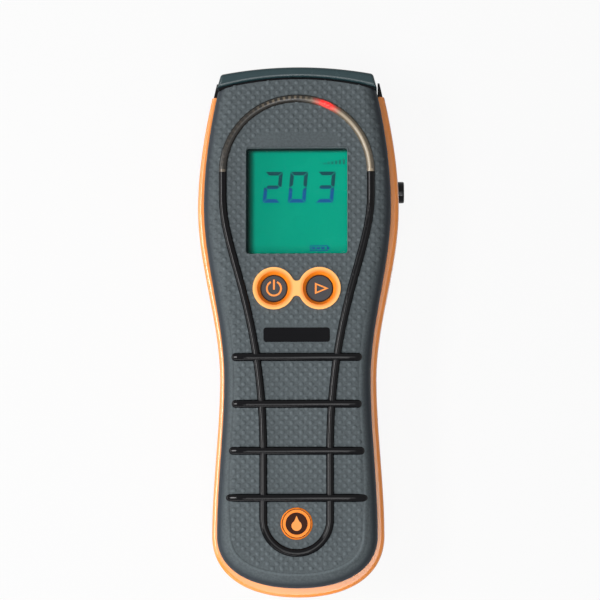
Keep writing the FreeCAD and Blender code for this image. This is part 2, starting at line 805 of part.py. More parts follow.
def keypad_surround():
    rim = flowing_eight("rim_block", "0", CEILING, "front_wall + rim_top")
    flange_floor = f"({CEILING} - surround_flange_depth)"
    flange = figure_eight("rim_flange", "surround_flange", flange_floor, "surround_flange_depth")
    bores = []
    for key, x in KEYS.items():
        bores.append(cylinder(f"rim_bore_{key}", "key_radius + key_gap", "face_level", x, "key_place",
                              "seam_level"))
        cone = doc.addObject("Part::Cone", f"rim_slope_{key}")
        bind(cone, "Radius1", "key_radius + key_gap")
        bind(cone, "Radius2", "rim_radius - rim_land")
        bind(cone, "Height", "rim_slope")
        locate(cone, x, "key_place", "face_level + rim_top - rim_slope")
        bores.append(cone)
    return keep(cut("surround_solid", fuse("rim_whole", [rim, flange]), bores), "keypad_surround")


def key(name, x):
    """A key with its flange under the surround, the switch plunger that it presses, and the switch."""
    plunger_top = board_top + S.switch_height + S.plunger_stand
    flange_top = ceiling - S.surround_flange_depth - S.key_flange_gap - plunger_top
    flange_floor = flange_top - S.key_flange_depth
    crown = S.face_level - S.key_sink - plunger_top
    flange_radius = S.key_radius + S.key_flange
    profile = [(0, 0), (S.plunger_radius, 0), (S.plunger_radius, flange_floor), (flange_radius, flange_floor),
               (flange_radius, flange_top), (S.key_radius, flange_top), (S.key_radius, crown - S.key_dome),
               (S.key_radius - S.key_dome, crown), (0, crown)]
    button = turned(f"{name}_key", profile)
    locate(button, x, "key_place", f"{BOARD_TOP} + switch_height + plunger_stand")
    keep(button, f"{name}_button")
    floor = f"{BOARD_TOP} + switch_floor + key_travel + plunger_gap"
    plunger = cylinder(f"{name}_pin", "plunger_radius - plunger_gap",
                       f"{BOARD_TOP} + switch_height + plunger_stand - ({floor})", x, "key_place", floor)
    keep(plunger, f"{name}_plunger")
    base = box(f"{name}_base", x, "key_place - switch_side / 2", BOARD_TOP, "switch_side", "switch_side",
               "switch_height")
    well = cylinder(f"{name}_well", "plunger_radius", "switch_height", x, "key_place",
                    f"{BOARD_TOP} + switch_floor")
    keep(cut(f"{name}_housing", base, [well]), f"{name}_switch")


def face_plates():
    keep(rounded_block("plate_block", "plate_place", "face_level - plate_depth", "plate_width",
                       "plate_length", "plate_depth + plate_stand", "plate_round"), "name_plate")
    rise = S.plate_depth + S.badge_stand
    radius = S.badge_radius - S.fit_gap
    disc = turned("badge_disc", [(0, 0), (radius, 0), (radius, rise - S.badge_stand),
                                 (radius - S.badge_stand, rise), (0, rise)])
    locate(disc, "0", "badge_place", "face_level - plate_depth")
    keep(disc, "badge")


# Probe socket

def probe_socket():
    """Jack behind the flank, its bush through the wall to the collar's face, bored for the plug."""
    near_flank = half_width(S.socket_place + S.jack_side / 2)
    inner = flank - near_flank + S.casing_wall + S.fit_gap
    outer_face = S.collar_depth - S.spot_depth
    jack = box("jack_block", f"{flank} - {inner} - jack_depth / 2", "socket_place - jack_side / 2",
               "socket_level - jack_side / 2", "jack_depth", "jack_side", "jack_side")
    bush = lying_cylinder("jack_bush", "bush_radius", f"{inner} + {outer_face}", f"{flank} - {inner}",
                          "socket_place", "socket_level")
    bore = lying_cylinder("jack_bore", "plug_radius + plug_fit", "bore_depth + spot_depth",
                          f"{flank} + {outer_face} - bore_depth", "socket_place", "socket_level")
    keep(cut("jack_solid", fuse("jack_whole", [jack, bush]), [bore]), "probe_socket")
    hole = S.bush_radius + S.fit_gap
    edge, round_off = S.collar_radius, S.collar_round
    ring = turned("collar_ring", [(hole, 0), (edge, 0), (edge, S.collar_depth - round_off),
                                  (edge - round_off * 0.3, S.collar_depth - round_off * 0.3),
                                  (edge - round_off, S.collar_depth), (hole, S.collar_depth)])
    ring.Placement.Rotation = FreeCAD.Rotation(Vector(0, 1, 0), 90)
    locate(ring, f"{flank} - spot_depth", "socket_place", "socket_level")
    keep(ring, "socket_collar")


# Battery bay

def cell(name, x, tip_side):
    """An AA cell lying along Y, its tip to the head (1) or to the foot (-1)."""
    body = turned(f"{name}_turned", [(0, 0), (S.cell_radius, 0), (S.cell_radius, S.cell_length),
                                     (S.cell_tip_radius, S.cell_length),
                                     (S.cell_tip_radius, S.cell_length + S.cell_tip),
                                     (0, S.cell_length + S.cell_tip)])
    body.Placement.Rotation = FreeCAD.Rotation(Vector(1, 0, 0), -90 * tip_side)
    end = f"{bay_half_length} - contact_depth - spring_depth"
    locate(body, x, f"cell_place - {tip_side} * ({end})", CELL_LEVEL)
    keep(body, name)


def spring(name, x, side):
    """A coil spring between the bay wall's plate and the flat end of a cell."""
    body = doc.addObject("PartDesign::Body", name)
    section = sketch_on(body, name + "_section", "XZ_Plane")
    start = S.spring_wire
    section.addGeometry(Part.Circle(Vector(S.spring_radius, start, 0), Vector(0, 0, 1), S.spring_wire))
    doc.recompute()
    coil = body.newObject("PartDesign::AdditiveHelix", name + "_coil")
    coil.Profile = section
    coil.ReferenceAxis = (section, ["V_Axis"])
    coil.Mode = "height-turns-angle"
    bind(coil, "Height", "spring_depth - 2 * spring_wire")
    bind(coil, "Turns", "spring_turns")
    coil.Angle = 0.0
    section.Visibility = False
    body.Placement.Rotation = FreeCAD.Rotation(Vector(1, 0, 0), -90 * side)
    end = f"{bay_half_length} - contact_depth"
    locate(body, x, f"cell_place - {side} * ({end})", CELL_LEVEL)
    return body


def battery_bay():
    left, right = "-cell_spacing / 2", "cell_spacing / 2"
    cell("battery_cell_left", left, 1)
    cell("battery_cell_right", right, -1)
    keep(group("spring_pair", [spring("spring_left", left, 1), spring("spring_right", right, -1)]),
         "contact_springs")
    side = "spring_radius * 2 + 4 * spring_wire"
    plates = []
    for number, x in enumerate((left, right)):
        for end, shift in (("foot", f"-{bay_half_length}"), ("head", f"{bay_half_length} - contact_depth")):
            plates.append(box(f"plate_{end}_{number}", x, f"cell_place + {shift}",
                              f"{CELL_LEVEL} - ({side}) / 2", side, "contact_depth", side))
    keep(group("plate_set", plates), "contact_plates")


# Board and what it carries

def main_board():
    blank = hull("board_blank", S.casing_wall + S.board_inset, BOARD_UNDER, "board_depth", rim=True)
    drop = "seal_depth + casing_wall + board_inset"
    sheet_part = common("board_sheet", [within_seam("board_within", blank, drop),
                                        zone("board_zone", "board_end", "half_length")])
    holes = columns("board_notch", HEAD_SCREWS, "boss_radius + board_gap", "seam_level", "front_wall * 2")
    holes += columns("board_hole", BOARD_SCREWS, "screw_radius + screw_gap", "seam_level", "front_wall * 2")
    keep(cut("board_solid", sheet_part, holes), "main_board")
    keep(box("processor_block", "0", "chip_place - chip_side / 2", f"{BOARD_UNDER} - chip_depth", "chip_side",
             "chip_side", "chip_depth"), "processor")
    keep(box("measuring_block", "chip_side * 1.5", "chip_place - chip_side / 2",
             f"{BOARD_UNDER} - chip_depth", "chip_side * 0.6", "chip_side", "chip_depth"), "measuring_chip")
    buzzer = turned("buzzer_turned", [(1.0, 0), (S.buzzer_radius, 0), (S.buzzer_radius, S.buzzer_depth),
                                      (0, S.buzzer_depth), (0, 1.0), (1.0, 1.0)])
    locate(buzzer, "0", "buzzer_place", f"{BOARD_UNDER} - buzzer_depth")
    keep(buzzer, "buzzer")


# Screws

def screw(name, x, y, seat, end):
    """A pan-head screw driven in +Z, its head under the seat level."""
    depth = S.screw_head_depth
    length = end - seat
    radius = S.screw_head_radius
    body = turned(name, [(0, 0), (radius * 0.8, 0), (radius, depth * 0.5), (radius, depth),
                         (S.screw_radius, depth), (S.screw_radius, depth + length), (0, depth + length)])
    locate(body, x, y, f"{seat} - screw_head_depth")
    return body


def screws():
    tip = S.seam_level + S.screw_bite
    casing = [screw(f"head_screw_{number}", x, y, S.head_screw_sink, tip)
              for number, (x, y) in enumerate(HEAD_SCREWS)]
    casing += [screw(f"foot_screw_{number}", x, y, S.deck_level, tip)
               for number, (x, y) in enumerate(FOOT_SCREWS)]
    keep(group("casing_screw_set", casing), "casing_screws")
    under = S.seam_level + S.board_lift
    board = [screw(f"board_screw_{number}", x, y, under, under + S.screw_bite)
             for number, (x, y) in enumerate(BOARD_SCREWS)]
    keep(group("board_screw_set", board), "board_screws")


def build():
    trim = keep(keyhole(), "keyhole_trim")
    bars = [rib(number) for number in range(int(S.rib_count))]
    bead = light_bead()
    doc.recompute()
    keep(cut("rib_set", group("rib_bars", bars), [trim]), "grip_ribs")
    front_cover(trim, bars, bead)
    rear_casing()
    battery_cover()
    nose_block()
    top_end_cap()
    end_seal()
    light_pipe(bead)
    bar_leds()
    display()
    keypad_surround()
    for name, x in KEYS.items():
        key(name, x)
    face_plates()
    probe_socket()
    battery_bay()
    main_board()
    screws()
    doc.recompute()


def check():
    """Stops where an object failed or a piece is not a valid solid."""
    failed = [item.Name for item in doc.Objects if "Invalid" in item.State or "Error" in item.State]
    for item in nodes:
        if item.Shape.isNull() or not item.Shape.isValid() or not item.Shape.Solids:
            failed.append(item.Label)
    if failed:
        raise RuntimeError("these did not build: " + ", ".join(failed))


def write():
    os.makedirs("parts", exist_ok=True)
    for item in nodes:
        item.Shape.exportStep(os.path.join("parts", item.Label + ".step"))
        print(item.Label, len(item.Shape.Solids), round(item.Shape.Volume, 1))


build()
check()
write()
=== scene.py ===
import json
import math
from functools import lru_cache

import bmesh
import bpy
from mathutils import Matrix, Vector

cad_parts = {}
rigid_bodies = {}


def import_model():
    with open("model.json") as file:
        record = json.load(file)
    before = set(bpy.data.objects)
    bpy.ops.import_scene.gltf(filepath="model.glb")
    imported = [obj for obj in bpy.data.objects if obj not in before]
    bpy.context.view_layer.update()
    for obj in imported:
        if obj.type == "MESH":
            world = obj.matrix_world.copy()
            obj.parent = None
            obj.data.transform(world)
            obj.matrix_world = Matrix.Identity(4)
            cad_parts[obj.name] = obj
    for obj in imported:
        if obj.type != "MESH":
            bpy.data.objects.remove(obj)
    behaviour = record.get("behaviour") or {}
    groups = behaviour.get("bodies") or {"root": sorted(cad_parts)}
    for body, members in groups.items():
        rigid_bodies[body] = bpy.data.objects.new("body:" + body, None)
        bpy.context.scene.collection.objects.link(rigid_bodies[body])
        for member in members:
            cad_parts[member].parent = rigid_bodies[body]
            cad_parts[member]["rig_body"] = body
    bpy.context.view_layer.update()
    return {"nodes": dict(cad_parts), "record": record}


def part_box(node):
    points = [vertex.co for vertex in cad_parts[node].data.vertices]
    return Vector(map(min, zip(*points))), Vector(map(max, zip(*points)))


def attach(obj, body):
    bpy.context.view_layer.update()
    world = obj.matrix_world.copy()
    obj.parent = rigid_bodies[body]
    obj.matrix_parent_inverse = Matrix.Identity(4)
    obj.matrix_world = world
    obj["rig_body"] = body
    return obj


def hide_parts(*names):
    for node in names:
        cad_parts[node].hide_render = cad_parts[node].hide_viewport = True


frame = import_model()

bl_info = {
    "name": "Hay bale moisture meter",
    "version": (1, 0, 0),
    "blender": (4, 5, 0),
    "location": "View3D > Sidebar > Moisture meter",
    "description": "Finishes the pieces of a hay bale moisture meter and lays it on a pale floor",
    "category": "Add Mesh",
}

NODES = frame["nodes"]
CASING_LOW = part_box("rear_casing")[0]
COVER_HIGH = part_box("front_cover")[1]
GLASS_LOW, GLASS_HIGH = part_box("lcd_glass")
WINDOW_LOW, WINDOW_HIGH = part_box("display_window")
PLATE_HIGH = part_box("name_plate")[1]
RIBS_LOW, RIBS_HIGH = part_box("grip_ribs")
LINE_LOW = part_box("keyhole_trim")[0]

# Places and half sizes on the face, in metres

HEAD_PLACE, WAIST_PLACE, FOOT_PLACE = 0.043, -0.016, -0.069
OPENING_WIDE, OPENING_TALL, OPENING_CORNER = 0.01715, 0.01795, 0.0007
PATCH_WIDE, PATCH_LENGTH = 0.0138, 0.0048
SEAM_CENTRE, SEAM_RADIUS = -0.0175, 0.1032
KEY_RING, BADGE_RING = 0.00715, 0.0054
DIGITS_PLACE, LEVELS_PLACE = 0.0492, 0.0570
DIGITS = (("2", -0.0083), ("0", 0.0003), ("3", 0.0097))
DIGIT_SLANT = 0.09
WHITE = (1.0, 1.0, 1.0, 1.0)


@lru_cache(maxsize=None)
def middle_of(node):
    """The middle of a CAD node's box."""
    low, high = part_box(node)
    return (low + high) / 2


# Sizes and colours that can be changed

def amount(name, description, default, **kind):
    """A number, with its unit or subtype if it has one."""
    return bpy.props.FloatProperty(name=name, description=description, default=default, **kind)


def length(name, description, default):
    """A size in metres."""
    return amount(name, description, default, unit="LENGTH", precision=5, min=0.0)


def tint(name, description, red, green, blue):
    """A colour given as it looks on screen, from 0 to 255."""
    linear = []
    for part in (red, green, blue):
        share = part / 255
        linear.append(share / 12.92 if share <= 0.04045 else ((share + 0.055) / 1.055) ** 2.4)
    return bpy.props.FloatVectorProperty(name=name, description=description, default=linear + [1.0],
                                         size=4, subtype="COLOR", min=0.0, max=1.0)


class METER_sizes(bpy.types.PropertyGroup):
    """Sizes of the pieces made here."""
    face: length("Face level", "Height of the flat face above the floor", COVER_HIGH.z)
    half_length: length("Half length", "From the middle to either end", -CASING_LOW.y)
    nose_half: length("Nose half width", "Half width of the cover at the probe end", 0.0253)
    head_half: length("Head half width", "Half width of the cover beside the display", COVER_HIGH.x)
    waist_half: length("Waist half width", "Half width of the cover at the grip", 0.0248)
    foot_half: length("Foot half width", "Half width of the cover near the foot", 0.0271)
    end_rim: length("End rim", "Width of the casing's rim below the cover's foot", 0.0035)
    edge_round: length("Edge round", "Radius of the cover's rounded edge", 0.0055)
    head_border: length("Head border", "Smooth border beside the texture at the head", 0.0013)
    grip_border: length("Grip border", "Smooth border beside the texture at the grip", 0.0038)
    foot_border: length("Foot border", "Smooth border beside the texture at the foot", 0.0054)
    lip_rise: length("Lip rise", "Height of the smooth border over the texture's ground", 0.00030)
    dome_radius: length("Dome radius", "Radius of one dome of the texture", 0.00095)
    dome_rise: length("Dome rise", "Height of one dome of the texture", 0.00033)
    dome_pitch: length("Dome pitch", "Spacing of the domes along a row", 0.00325)
    arc_radius: length("Arc radius", "Radius of the light arc's middle line", 0.0251)
    arc_place: length("Arc place", "Centre of the light arc along the instrument", 0.054)
    line_half: length("Line half width", "Half width of the keyhole line", 0.00135)
    digit_height: length("Digit height", "Height of one digit", 0.0106)
    digit_width: length("Digit width", "Width of one digit", 0.0060)
    digit_stroke: length("Digit stroke", "Width of one segment", 0.00125)
    mark_rise: length("Mark rise", "Height of a printed or moulded mark", 0.00006)


class METER_colours(bpy.types.PropertyGroup):
    """Colours of the finishes."""
    cover: tint("Front cover", "Dark grey of the front cover", 83, 90, 93)
    # Painted shade: this darker grey is painted on the cover's shoulders where they fall away from the face,
    # in place of the shade there.
    shoulder_shade: tint("Cover shoulder", "Darker grey of the cover's smooth shoulders", 53, 58, 63)
    cap: tint("End cap", "Green grey of the end cap", 30, 52, 56)
    casing: tint("Casing", "Orange of the rear casing", 240, 138, 34)
    # Painted highlight: this paler orange is painted on the keypad's level rim, where light falls on it.
    rim: tint("Keypad rim", "Light orange of the keypad's rim", 254, 184, 98)
    slope: tint("Keypad slope", "Deep orange of the keypad's slope", 250, 132, 8)
    trim: tint("Trim", "Black of the keyhole line, ribs and socket", 4, 4, 7)
    key: tint("Key", "Dark grey of the keys", 39, 38, 42)
    lens: tint("Light arc", "Smoked brown of the light arc", 36, 33, 29)
    lens_pale: tint("Clear side", "Paler side of the light arc", 128, 116, 98)
    # Painted light: this paler colour is painted on the arc's right half and, lighter still, as a streak
    # highlight; the LED dots and end ticks use it too.
    glow: tint("Lit LED", "Red of the LED that is lit", 255, 30, 34)
    screen: tint("Display", "Green blue of the display", 0, 144, 118)
    segment: tint("Segment", "Dark of the upper segments", 0, 70, 78)
    segment_low: tint("Lower segment", "Blue of the lower segments", 0, 86, 148)
    board: tint("Board", "Green of the circuit board", 22, 92, 52)
    badge_mark: tint("Badge mark", "Brown of the badge's mark", 50, 20, 6)


class METER_stage(bpy.types.PropertyGroup):
    """Camera and lamps."""
    distance: length("Camera distance", "From the camera to the face", 0.80)
    span: length("Picture span", "Width of the picture at the face", 0.204)
    aim_x: amount("Aim across", "Middle of the picture across", 0.0009, unit="LENGTH", precision=5)
    aim_y: amount("Aim along", "Middle of the picture along", 0.0109, unit="LENGTH", precision=5)
    turn: amount("Turn", "How far the camera stands to the right", math.radians(2.2), subtype="ANGLE")
    lean: amount("Lean", "How far the camera stands to the foot", math.radians(4.5), subtype="ANGLE")
    key_power: amount("Key lamp", "Power of the lamp at the left", 3.2, unit="POWER")
    fill_power: amount("Fill lamp", "Power of the lamp overhead", 1.6, unit="POWER")
    rim_power: amount("Rim lamps", "Power from which the other lamps take their own", 0.9, unit="POWER")
    glint_power: amount("Glint lamp", "Power of the lamp that only reflections show", 3.5, unit="POWER")
    air: amount("Room light", "Strength of the light from all sides", 0.06)


# Shader sums

class Number:
    """A shader value that is written into sums like an ordinary number."""

    def __init__(self, finish, socket):
        self.finish = finish
        self.socket = socket

    def __add__(self, other):
        return self.finish.maths("ADD", self, other)

    def __radd__(self, other):
        return self.finish.maths("ADD", other, self)

    def __sub__(self, other):
        return self.finish.maths("SUBTRACT", self, other)

    def __rsub__(self, other):
        return self.finish.maths("SUBTRACT", other, self)

    def __mul__(self, other):
        return self.finish.maths("MULTIPLY", self, other)

    def __rmul__(self, other):
        return self.finish.maths("MULTIPLY", other, self)

    def __lt__(self, other):
        return self.finish.maths("LESS_THAN", self, other)

    def __gt__(self, other):
        return self.finish.maths("GREATER_THAN", self, other)

    def __abs__(self):
        return self.finish.maths("ABSOLUTE", self)


class Nodes:
    """A node tree, cleared and then filled."""

    def __init__(self, tree):
        self.tree = tree
        tree.nodes.clear()

    def node(self, kind, settings=None, inputs=None):
        """Adds a node of a type, with its settings first and then its inputs."""
        made = self.tree.nodes.new(kind)
        for key, value in (settings or {}).items():
            setattr(made, key, value)
        for key, value in (inputs or {}).items():
            self.feed(made.inputs[key], value)
        return made

    def feed(self, socket, value):
        """Links a value to a socket, or sets it there."""
        if isinstance(value, Number):
            value = value.socket
        if isinstance(value, bpy.types.NodeSocket):
            self.tree.links.new(value, socket)
        else:
            socket.default_value = value

    def maths(self, operation, *values):
        return Number(self, self.node("ShaderNodeMath", {"operation": operation},
                                      dict(enumerate(values))).outputs[0])

    def backdrop_rays(self):
        """1 for the rays in which the backdrop is seen, straight or through a piece."""
        path = self.node("ShaderNodeLightPath")
        seen = path.outputs["Is Camera Ray"]
        for ray in ("Is Glossy Ray", "Is Transmission Ray"):
            seen = self.maths("MAXIMUM", seen, path.outputs[ray])
        return seen


class Finish(Nodes):
    """One procedural material: its shader, and the nodes that vary it over the surface."""

    def __init__(self, name, spec=0.5, **constants):
        self.name = name
        self.material = bpy.data.materials.new(name + "_finish")
        self.material.use_nodes = True
        super().__init__(self.material.node_tree)
        self.surface = self.node("ShaderNodeBsdfPrincipled", inputs={"Specular IOR Level": spec, **constants})
        self.out = self.node("ShaderNodeOutputMaterial", inputs={"Surface": self.surface.outputs[0]})
        self.place = self.node("ShaderNodeTexCoord").outputs["Object"]
        self.axes = None

    def soft(self, value, low, high):
        """0 below low, 1 above high and smooth between."""
        made = self.node("ShaderNodeMapRange", {"interpolation_type": "SMOOTHSTEP"},
                         {"Value": value, "From Min": low, "From Max": high})
        return Number(self, made.outputs["Result"])

    def along(self, axis):
        """The place along an axis, in metres."""
        if self.axes is None:
            self.axes = self.node("ShaderNodeSeparateXYZ", inputs={0: self.place})
        return Number(self, self.axes.outputs["XYZ".index(axis)])

    def noise(self, size, detail=2.0, stretch=(1.0, 1.0, 1.0)):
        """Soft noise whose grains have a size in metres."""
        place = self.place
        if stretch != (1.0, 1.0, 1.0):
            place = self.node("ShaderNodeMapping", inputs={"Vector": place, "Scale": stretch}).outputs[0]
        made = self.node("ShaderNodeTexNoise", inputs={"Vector": place, "Scale": 1 / size, "Detail": detail})
        return Number(self, made.outputs["Fac"])

    def cells(self, size):
        """Distance to the nearest of points scattered at a size in metres."""
        made = self.node("ShaderNodeTexVoronoi", inputs={"Vector": self.place, "Scale": 1 / size})
        return Number(self, made.outputs["Distance"])

    def mix(self, factor, first, second):
        """Blends one colour into another."""
        made = self.node("ShaderNodeMix", {"data_type": "RGBA"}, {0: factor, 6: first, 7: second})
        return made.outputs[2]

    def bump(self, height, strength, depth):
        """Moves the surface's normals by a height, over a depth in metres."""
        made = self.node("ShaderNodeBump", inputs={"Height": height, "Strength": strength,
                                                   "Distance": depth})
        self.feed(self.surface.inputs["Normal"], made.outputs[0])

    def colour(self, value):
        self.feed(self.surface.inputs["Base Color"], value)

    def rough(self, value):
        self.feed(self.surface.inputs["Roughness"], value)


def shade(colour, factor):
    """A darker or lighter copy of a colour."""
    return [min(1.0, part * factor) for part in colour[:3]] + [1.0]


def moulded(name, colour, rough, spread=0.12, grain=0.0004, depth=0.00002, patch=0.012, **constants):
    """Moulded plastic: cloudy colour, uneven gloss and a fine spark-eroded grain."""
    finish = Finish(name, **constants)
    cloud = finish.noise(patch, 3.0)
    fine = finish.noise(grain, 2.0)
    finish.colour(finish.mix(cloud, shade(colour, 1 - spread), shade(colour, 1 + spread)))
    finish.rough(rough * (0.8 + 0.4 * finish.noise(patch / 3, 3.0)))
    finish.bump(fine, 0.35, depth)
    return finish


def finishes(colours):
    """Every finish by its name."""
    made = (
        cover_grey(colours),
        moulded("casing_orange", colours.casing, 0.4, spread=0.05, grain=0.0003, depth=0.000008, spec=0.2,
                **{"Coat Weight": 1.0, "Coat Roughness": 0.24, "Coat IOR": 1.55, "Sheen Weight": 0.6,
                   "Sheen Roughness": 0.3}),
        moulded("cap_grey", colours.cap, 0.26, spread=0.06, depth=0.000006, spec=0.35),
        moulded("black_trim", colours.trim, 0.07, spread=0.2, depth=0.0000004, spec=0.14),
        moulded("plate_black", colours.trim, 0.3, spread=0.2, depth=0.000004, spec=0.05),
        moulded("seal_black", shade(colours.trim, 0.7), 0.7, depth=0.00003, spec=0.08),
        moulded("key_grey", colours.key, 0.45, spread=0.1, depth=0.00001, spec=0.3),
        moulded("chip_black", shade(colours.trim, 1.4), 0.5, patch=0.002),
        keypad_orange(colours),
        smoked_lens(colours),
        lcd_teal(colours),
        segment_blue(colours),
        clear_window(),
        moulded("diffuser_white", (0.8, 0.82, 0.8, 1.0), 0.5, spread=0.03),
        led_body(),
        plated_steel(),
        cell_sleeve(colours),
        board_green(colours),
        moulded("print_orange", colours.casing, 0.5, spread=0.05),
        moulded("badge_orange", colours.slope, 0.35, spread=0.06, spec=0.25),
        moulded("badge_brown", colours.badge_mark, 0.4, spread=0.1, spec=0.06),
    )
    return {finish.name: finish.material for finish in made}


def cover_grey(colours):
    """Matt grey plastic, with painted shade darkening the smooth shoulders where they fall away from the face
    and painted highlight lightening what stands above the face.
    """
    finish = Finish("cover_grey", spec=0.04)
    speck = finish.soft(finish.noise(0.0008, 2.0), 0.3, 0.7)
    # Painted highlight: the dome tops and the crests of the display bead and the border, which stand above
    # the face, are painted lighter as if catching the light.
    painted_top_highlight = finish.soft(finish.along("Z"), COVER_HIGH.z + 0.00004, COVER_HIGH.z + 0.00024)
    cloud = 0.25 * finish.noise(0.012, 3.0) + 0.35 * speck + 0.4 * painted_top_highlight
    face = finish.mix(cloud, shade(colours.cover, 0.76), shade(colours.cover, 1.42))
    # Painted shade: darker grey painted onto the shoulders as they fall below the face.
    fallen = 1 - finish.soft(finish.along("Z"), COVER_HIGH.z - 0.0024, COVER_HIGH.z - 0.0002)
    finish.colour(finish.mix(fallen, face, colours.shoulder_shade))
    finish.rough(0.42 + 0.16 * finish.noise(0.004, 3.0))
    finish.bump(finish.noise(0.00035), 0.35, 0.00004)
    return finish


def keypad_orange(colours):
    """Orange plastic whose level rim is painted paler than the slope round each key, as a painted highlight.
    """
    finish = Finish("keypad_orange", **{"Coat Weight": 0.15, "Coat Roughness": 0.2})
    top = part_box("keypad_surround")[1].z
    key = middle_of("select_button")
    x, y = abs(finish.along("X")) - key.x, finish.along("Y") - key.y
    reach = finish.maths("SQRT", x * x + y * y)
    # Painted highlight: the level rim, away from each key, is painted paler.
    painted_rim_highlight = finish.soft(finish.along("Z"), top - 0.0006, top - 0.00005) * finish.soft(reach, 0.0057, 0.0069)
    cloud = finish.noise(0.004, 3.0)
    plain = finish.mix(painted_rim_highlight, colours.slope, colours.rim)
    finish.colour(finish.mix(cloud * 0.25, plain, shade(colours.slope, 1.1)))
    finish.rough(0.34 + 0.1 * cloud)
    finish.bump(finish.noise(0.0003), 0.2, 0.00001)
    return finish


def smoked_lens(colours):
    """Smoked plastic over a row of LEDs, one of them lit. The lit LED glows at its heart, while its wider red
    glow in the lens colour is painted light, and the paler right half and its streak are painted light too.
    """
    finish = Finish("smoked_lens", spec=0.2, **{"Coat Weight": 0.25, "Coat Roughness": 0.1,
                                                "Emission Strength": 0.8})
    sizes = bpy.context.scene.meter_sizes
    arc = sizes.arc_radius
    x, y = finish.along("X"), finish.along("Y") - sizes.arc_place
    turn = finish.maths("ARCTAN2", y, x)
    radius = finish.maths("SQRT", x * x + y * y)
    middle = 1 - finish.soft(abs(radius - (arc - 0.0001)), 0.0006, 0.0012)
    grains = finish.soft(finish.noise(0.0007, 2.0), 0.3, 0.65)
    from_lit = abs(turn - math.radians(65.9))
    # Painted light: the lit LED's red glow is painted into the lens colour around it; only its heart glows.
    glow = (1 - finish.soft(from_lit, 0.02, 0.24)) * (0.25 + 0.75 * middle) * (0.55 + 0.45 * grains)
    heart = (1 - finish.soft(from_lit, 0.0, 0.13)) * middle
    dots = finish.soft(finish.maths("SINE", turn * 84.0), -0.3, 0.7)
    dots = dots * (1 - finish.soft(abs(radius - (arc + 0.0002)), 0.0003, 0.0007))
    crown = 1 - finish.soft(abs(turn - math.radians(98)), 0.20, 0.55)
    # Painted light: the right half of the arc is painted paler, with a painted highlight streak along its
    # inner side.
    painted_lit_side = 1 - finish.soft(turn, math.radians(62), math.radians(88))
    streak = painted_lit_side * (1 - finish.soft(abs(radius - (arc - 0.0003)), 0.0002, 0.0007))
    tick = (y < 0.0009) * (1 - finish.soft(abs(radius - arc), 0.0007, 0.0010))
    base = finish.mix(painted_lit_side * 0.55, colours.lens, colours.lens_pale)
    base = finish.mix(streak * (0.55 + 0.45 * finish.noise(0.0012)), base, shade(colours.lens_pale, 1.9))
    base = finish.mix(dots * (0.08 + 0.42 * crown), base, shade(colours.lens_pale, 1.1))
    base = finish.mix(tick * (0.25 + 0.55 * (finish.along("X") > 0)), base, shade(colours.lens_pale, 1.7))
    finish.colour(finish.mix(glow, base, colours.glow))
    finish.rough(0.2 + 0.12 * finish.noise(0.002))
    finish.feed(finish.surface.inputs["Emission Color"],
                finish.mix(heart, (0.0, 0.0, 0.0, 1.0), colours.glow))
    return finish


def lcd_teal(colours):
    """Backlit liquid crystal, with painted shadow along its left and top edges under the frame and painted
    shade darkening it towards the left.
    """
    finish = Finish("lcd_teal", spec=0.04, **{"Emission Strength": 0.33})
    x, y = finish.along("X"), finish.along("Y")
    left, top = -OPENING_WIDE, middle_of("display_window").y + OPENING_TALL
    # Painted shade: the display is painted darker towards its left side.
    across = finish.soft(x, GLASS_LOW.x, GLASS_HIGH.x * 0.6)
    cloud = finish.noise(0.012, 2.0)
    plain = finish.mix(across * 0.5 + cloud * 0.4, shade(colours.screen, 0.86), shade(colours.screen, 1.08))
    # Painted shadow: the frame's shadow is painted along the left and top edges, into both the colour and the
    # glow.
    lit = finish.soft(x, left + 0.0002, left + 0.0034) * (1 - finish.soft(y, top - 0.0016, top))
    shaded = finish.mix(lit, (0.004, 0.012, 0.012, 1.0), plain)
    finish.colour(shaded)
    finish.feed(finish.surface.inputs["Emission Color"], shaded)
    finish.rough(0.22 + 0.1 * cloud)
    return finish


def segment_blue(colours):
    """Dark segments whose lower halves turn blue; the small marks over them are fainter."""
    finish = Finish("segment_blue", spec=0.15)
    y = finish.along("Y")
    drop = 1 - finish.soft(y, DIGITS_PLACE - 0.0018, DIGITS_PLACE + 0.0008)
    faint = finish.soft(y, LEVELS_PLACE - 0.0010, LEVELS_PLACE - 0.0005)
    tone = finish.mix(drop, colours.segment, colours.segment_low)
    finish.colour(finish.mix(faint * 0.55, tone, colours.screen))
    finish.rough(0.3 + 0.1 * finish.noise(0.001))
    return finish


def clear_window():
    """Clear lens: nearly all of it lets the light through."""
    finish = Finish("clear_window", spec=0.15, **{"Alpha": 0.05, "IOR": 1.49})
    finish.colour(finish.mix(finish.noise(0.01), (0.01, 0.03, 0.03, 1.0), (0.02, 0.04, 0.04, 1.0)))
    finish.rough(0.05 + 0.05 * finish.noise(0.004))
    return finish


def led_body():
    """Pale LED bodies with a clear dome in the middle."""
    finish = Finish("led_body")
    finish.colour(finish.mix(finish.noise(0.0005), (0.78, 0.72, 0.55, 1.0), (0.9, 0.86, 0.75, 1.0)))
    finish.rough(0.3 + 0.1 * finish.noise(0.001))
    return finish


def plated_steel():
    """Bright plated steel with fine streaks."""
    finish = Finish("plated_steel", **{"Metallic": 1.0})
    streak = finish.noise(0.0004, 3.0, (1.0, 0.2, 1.0))
    finish.colour(finish.mix(streak, (0.52, 0.52, 0.5, 1.0), (0.72, 0.71, 0.68, 1.0)))
    finish.rough(0.22 + 0.2 * streak)
    finish.bump(streak, 0.2, 0.00001)
    return finish


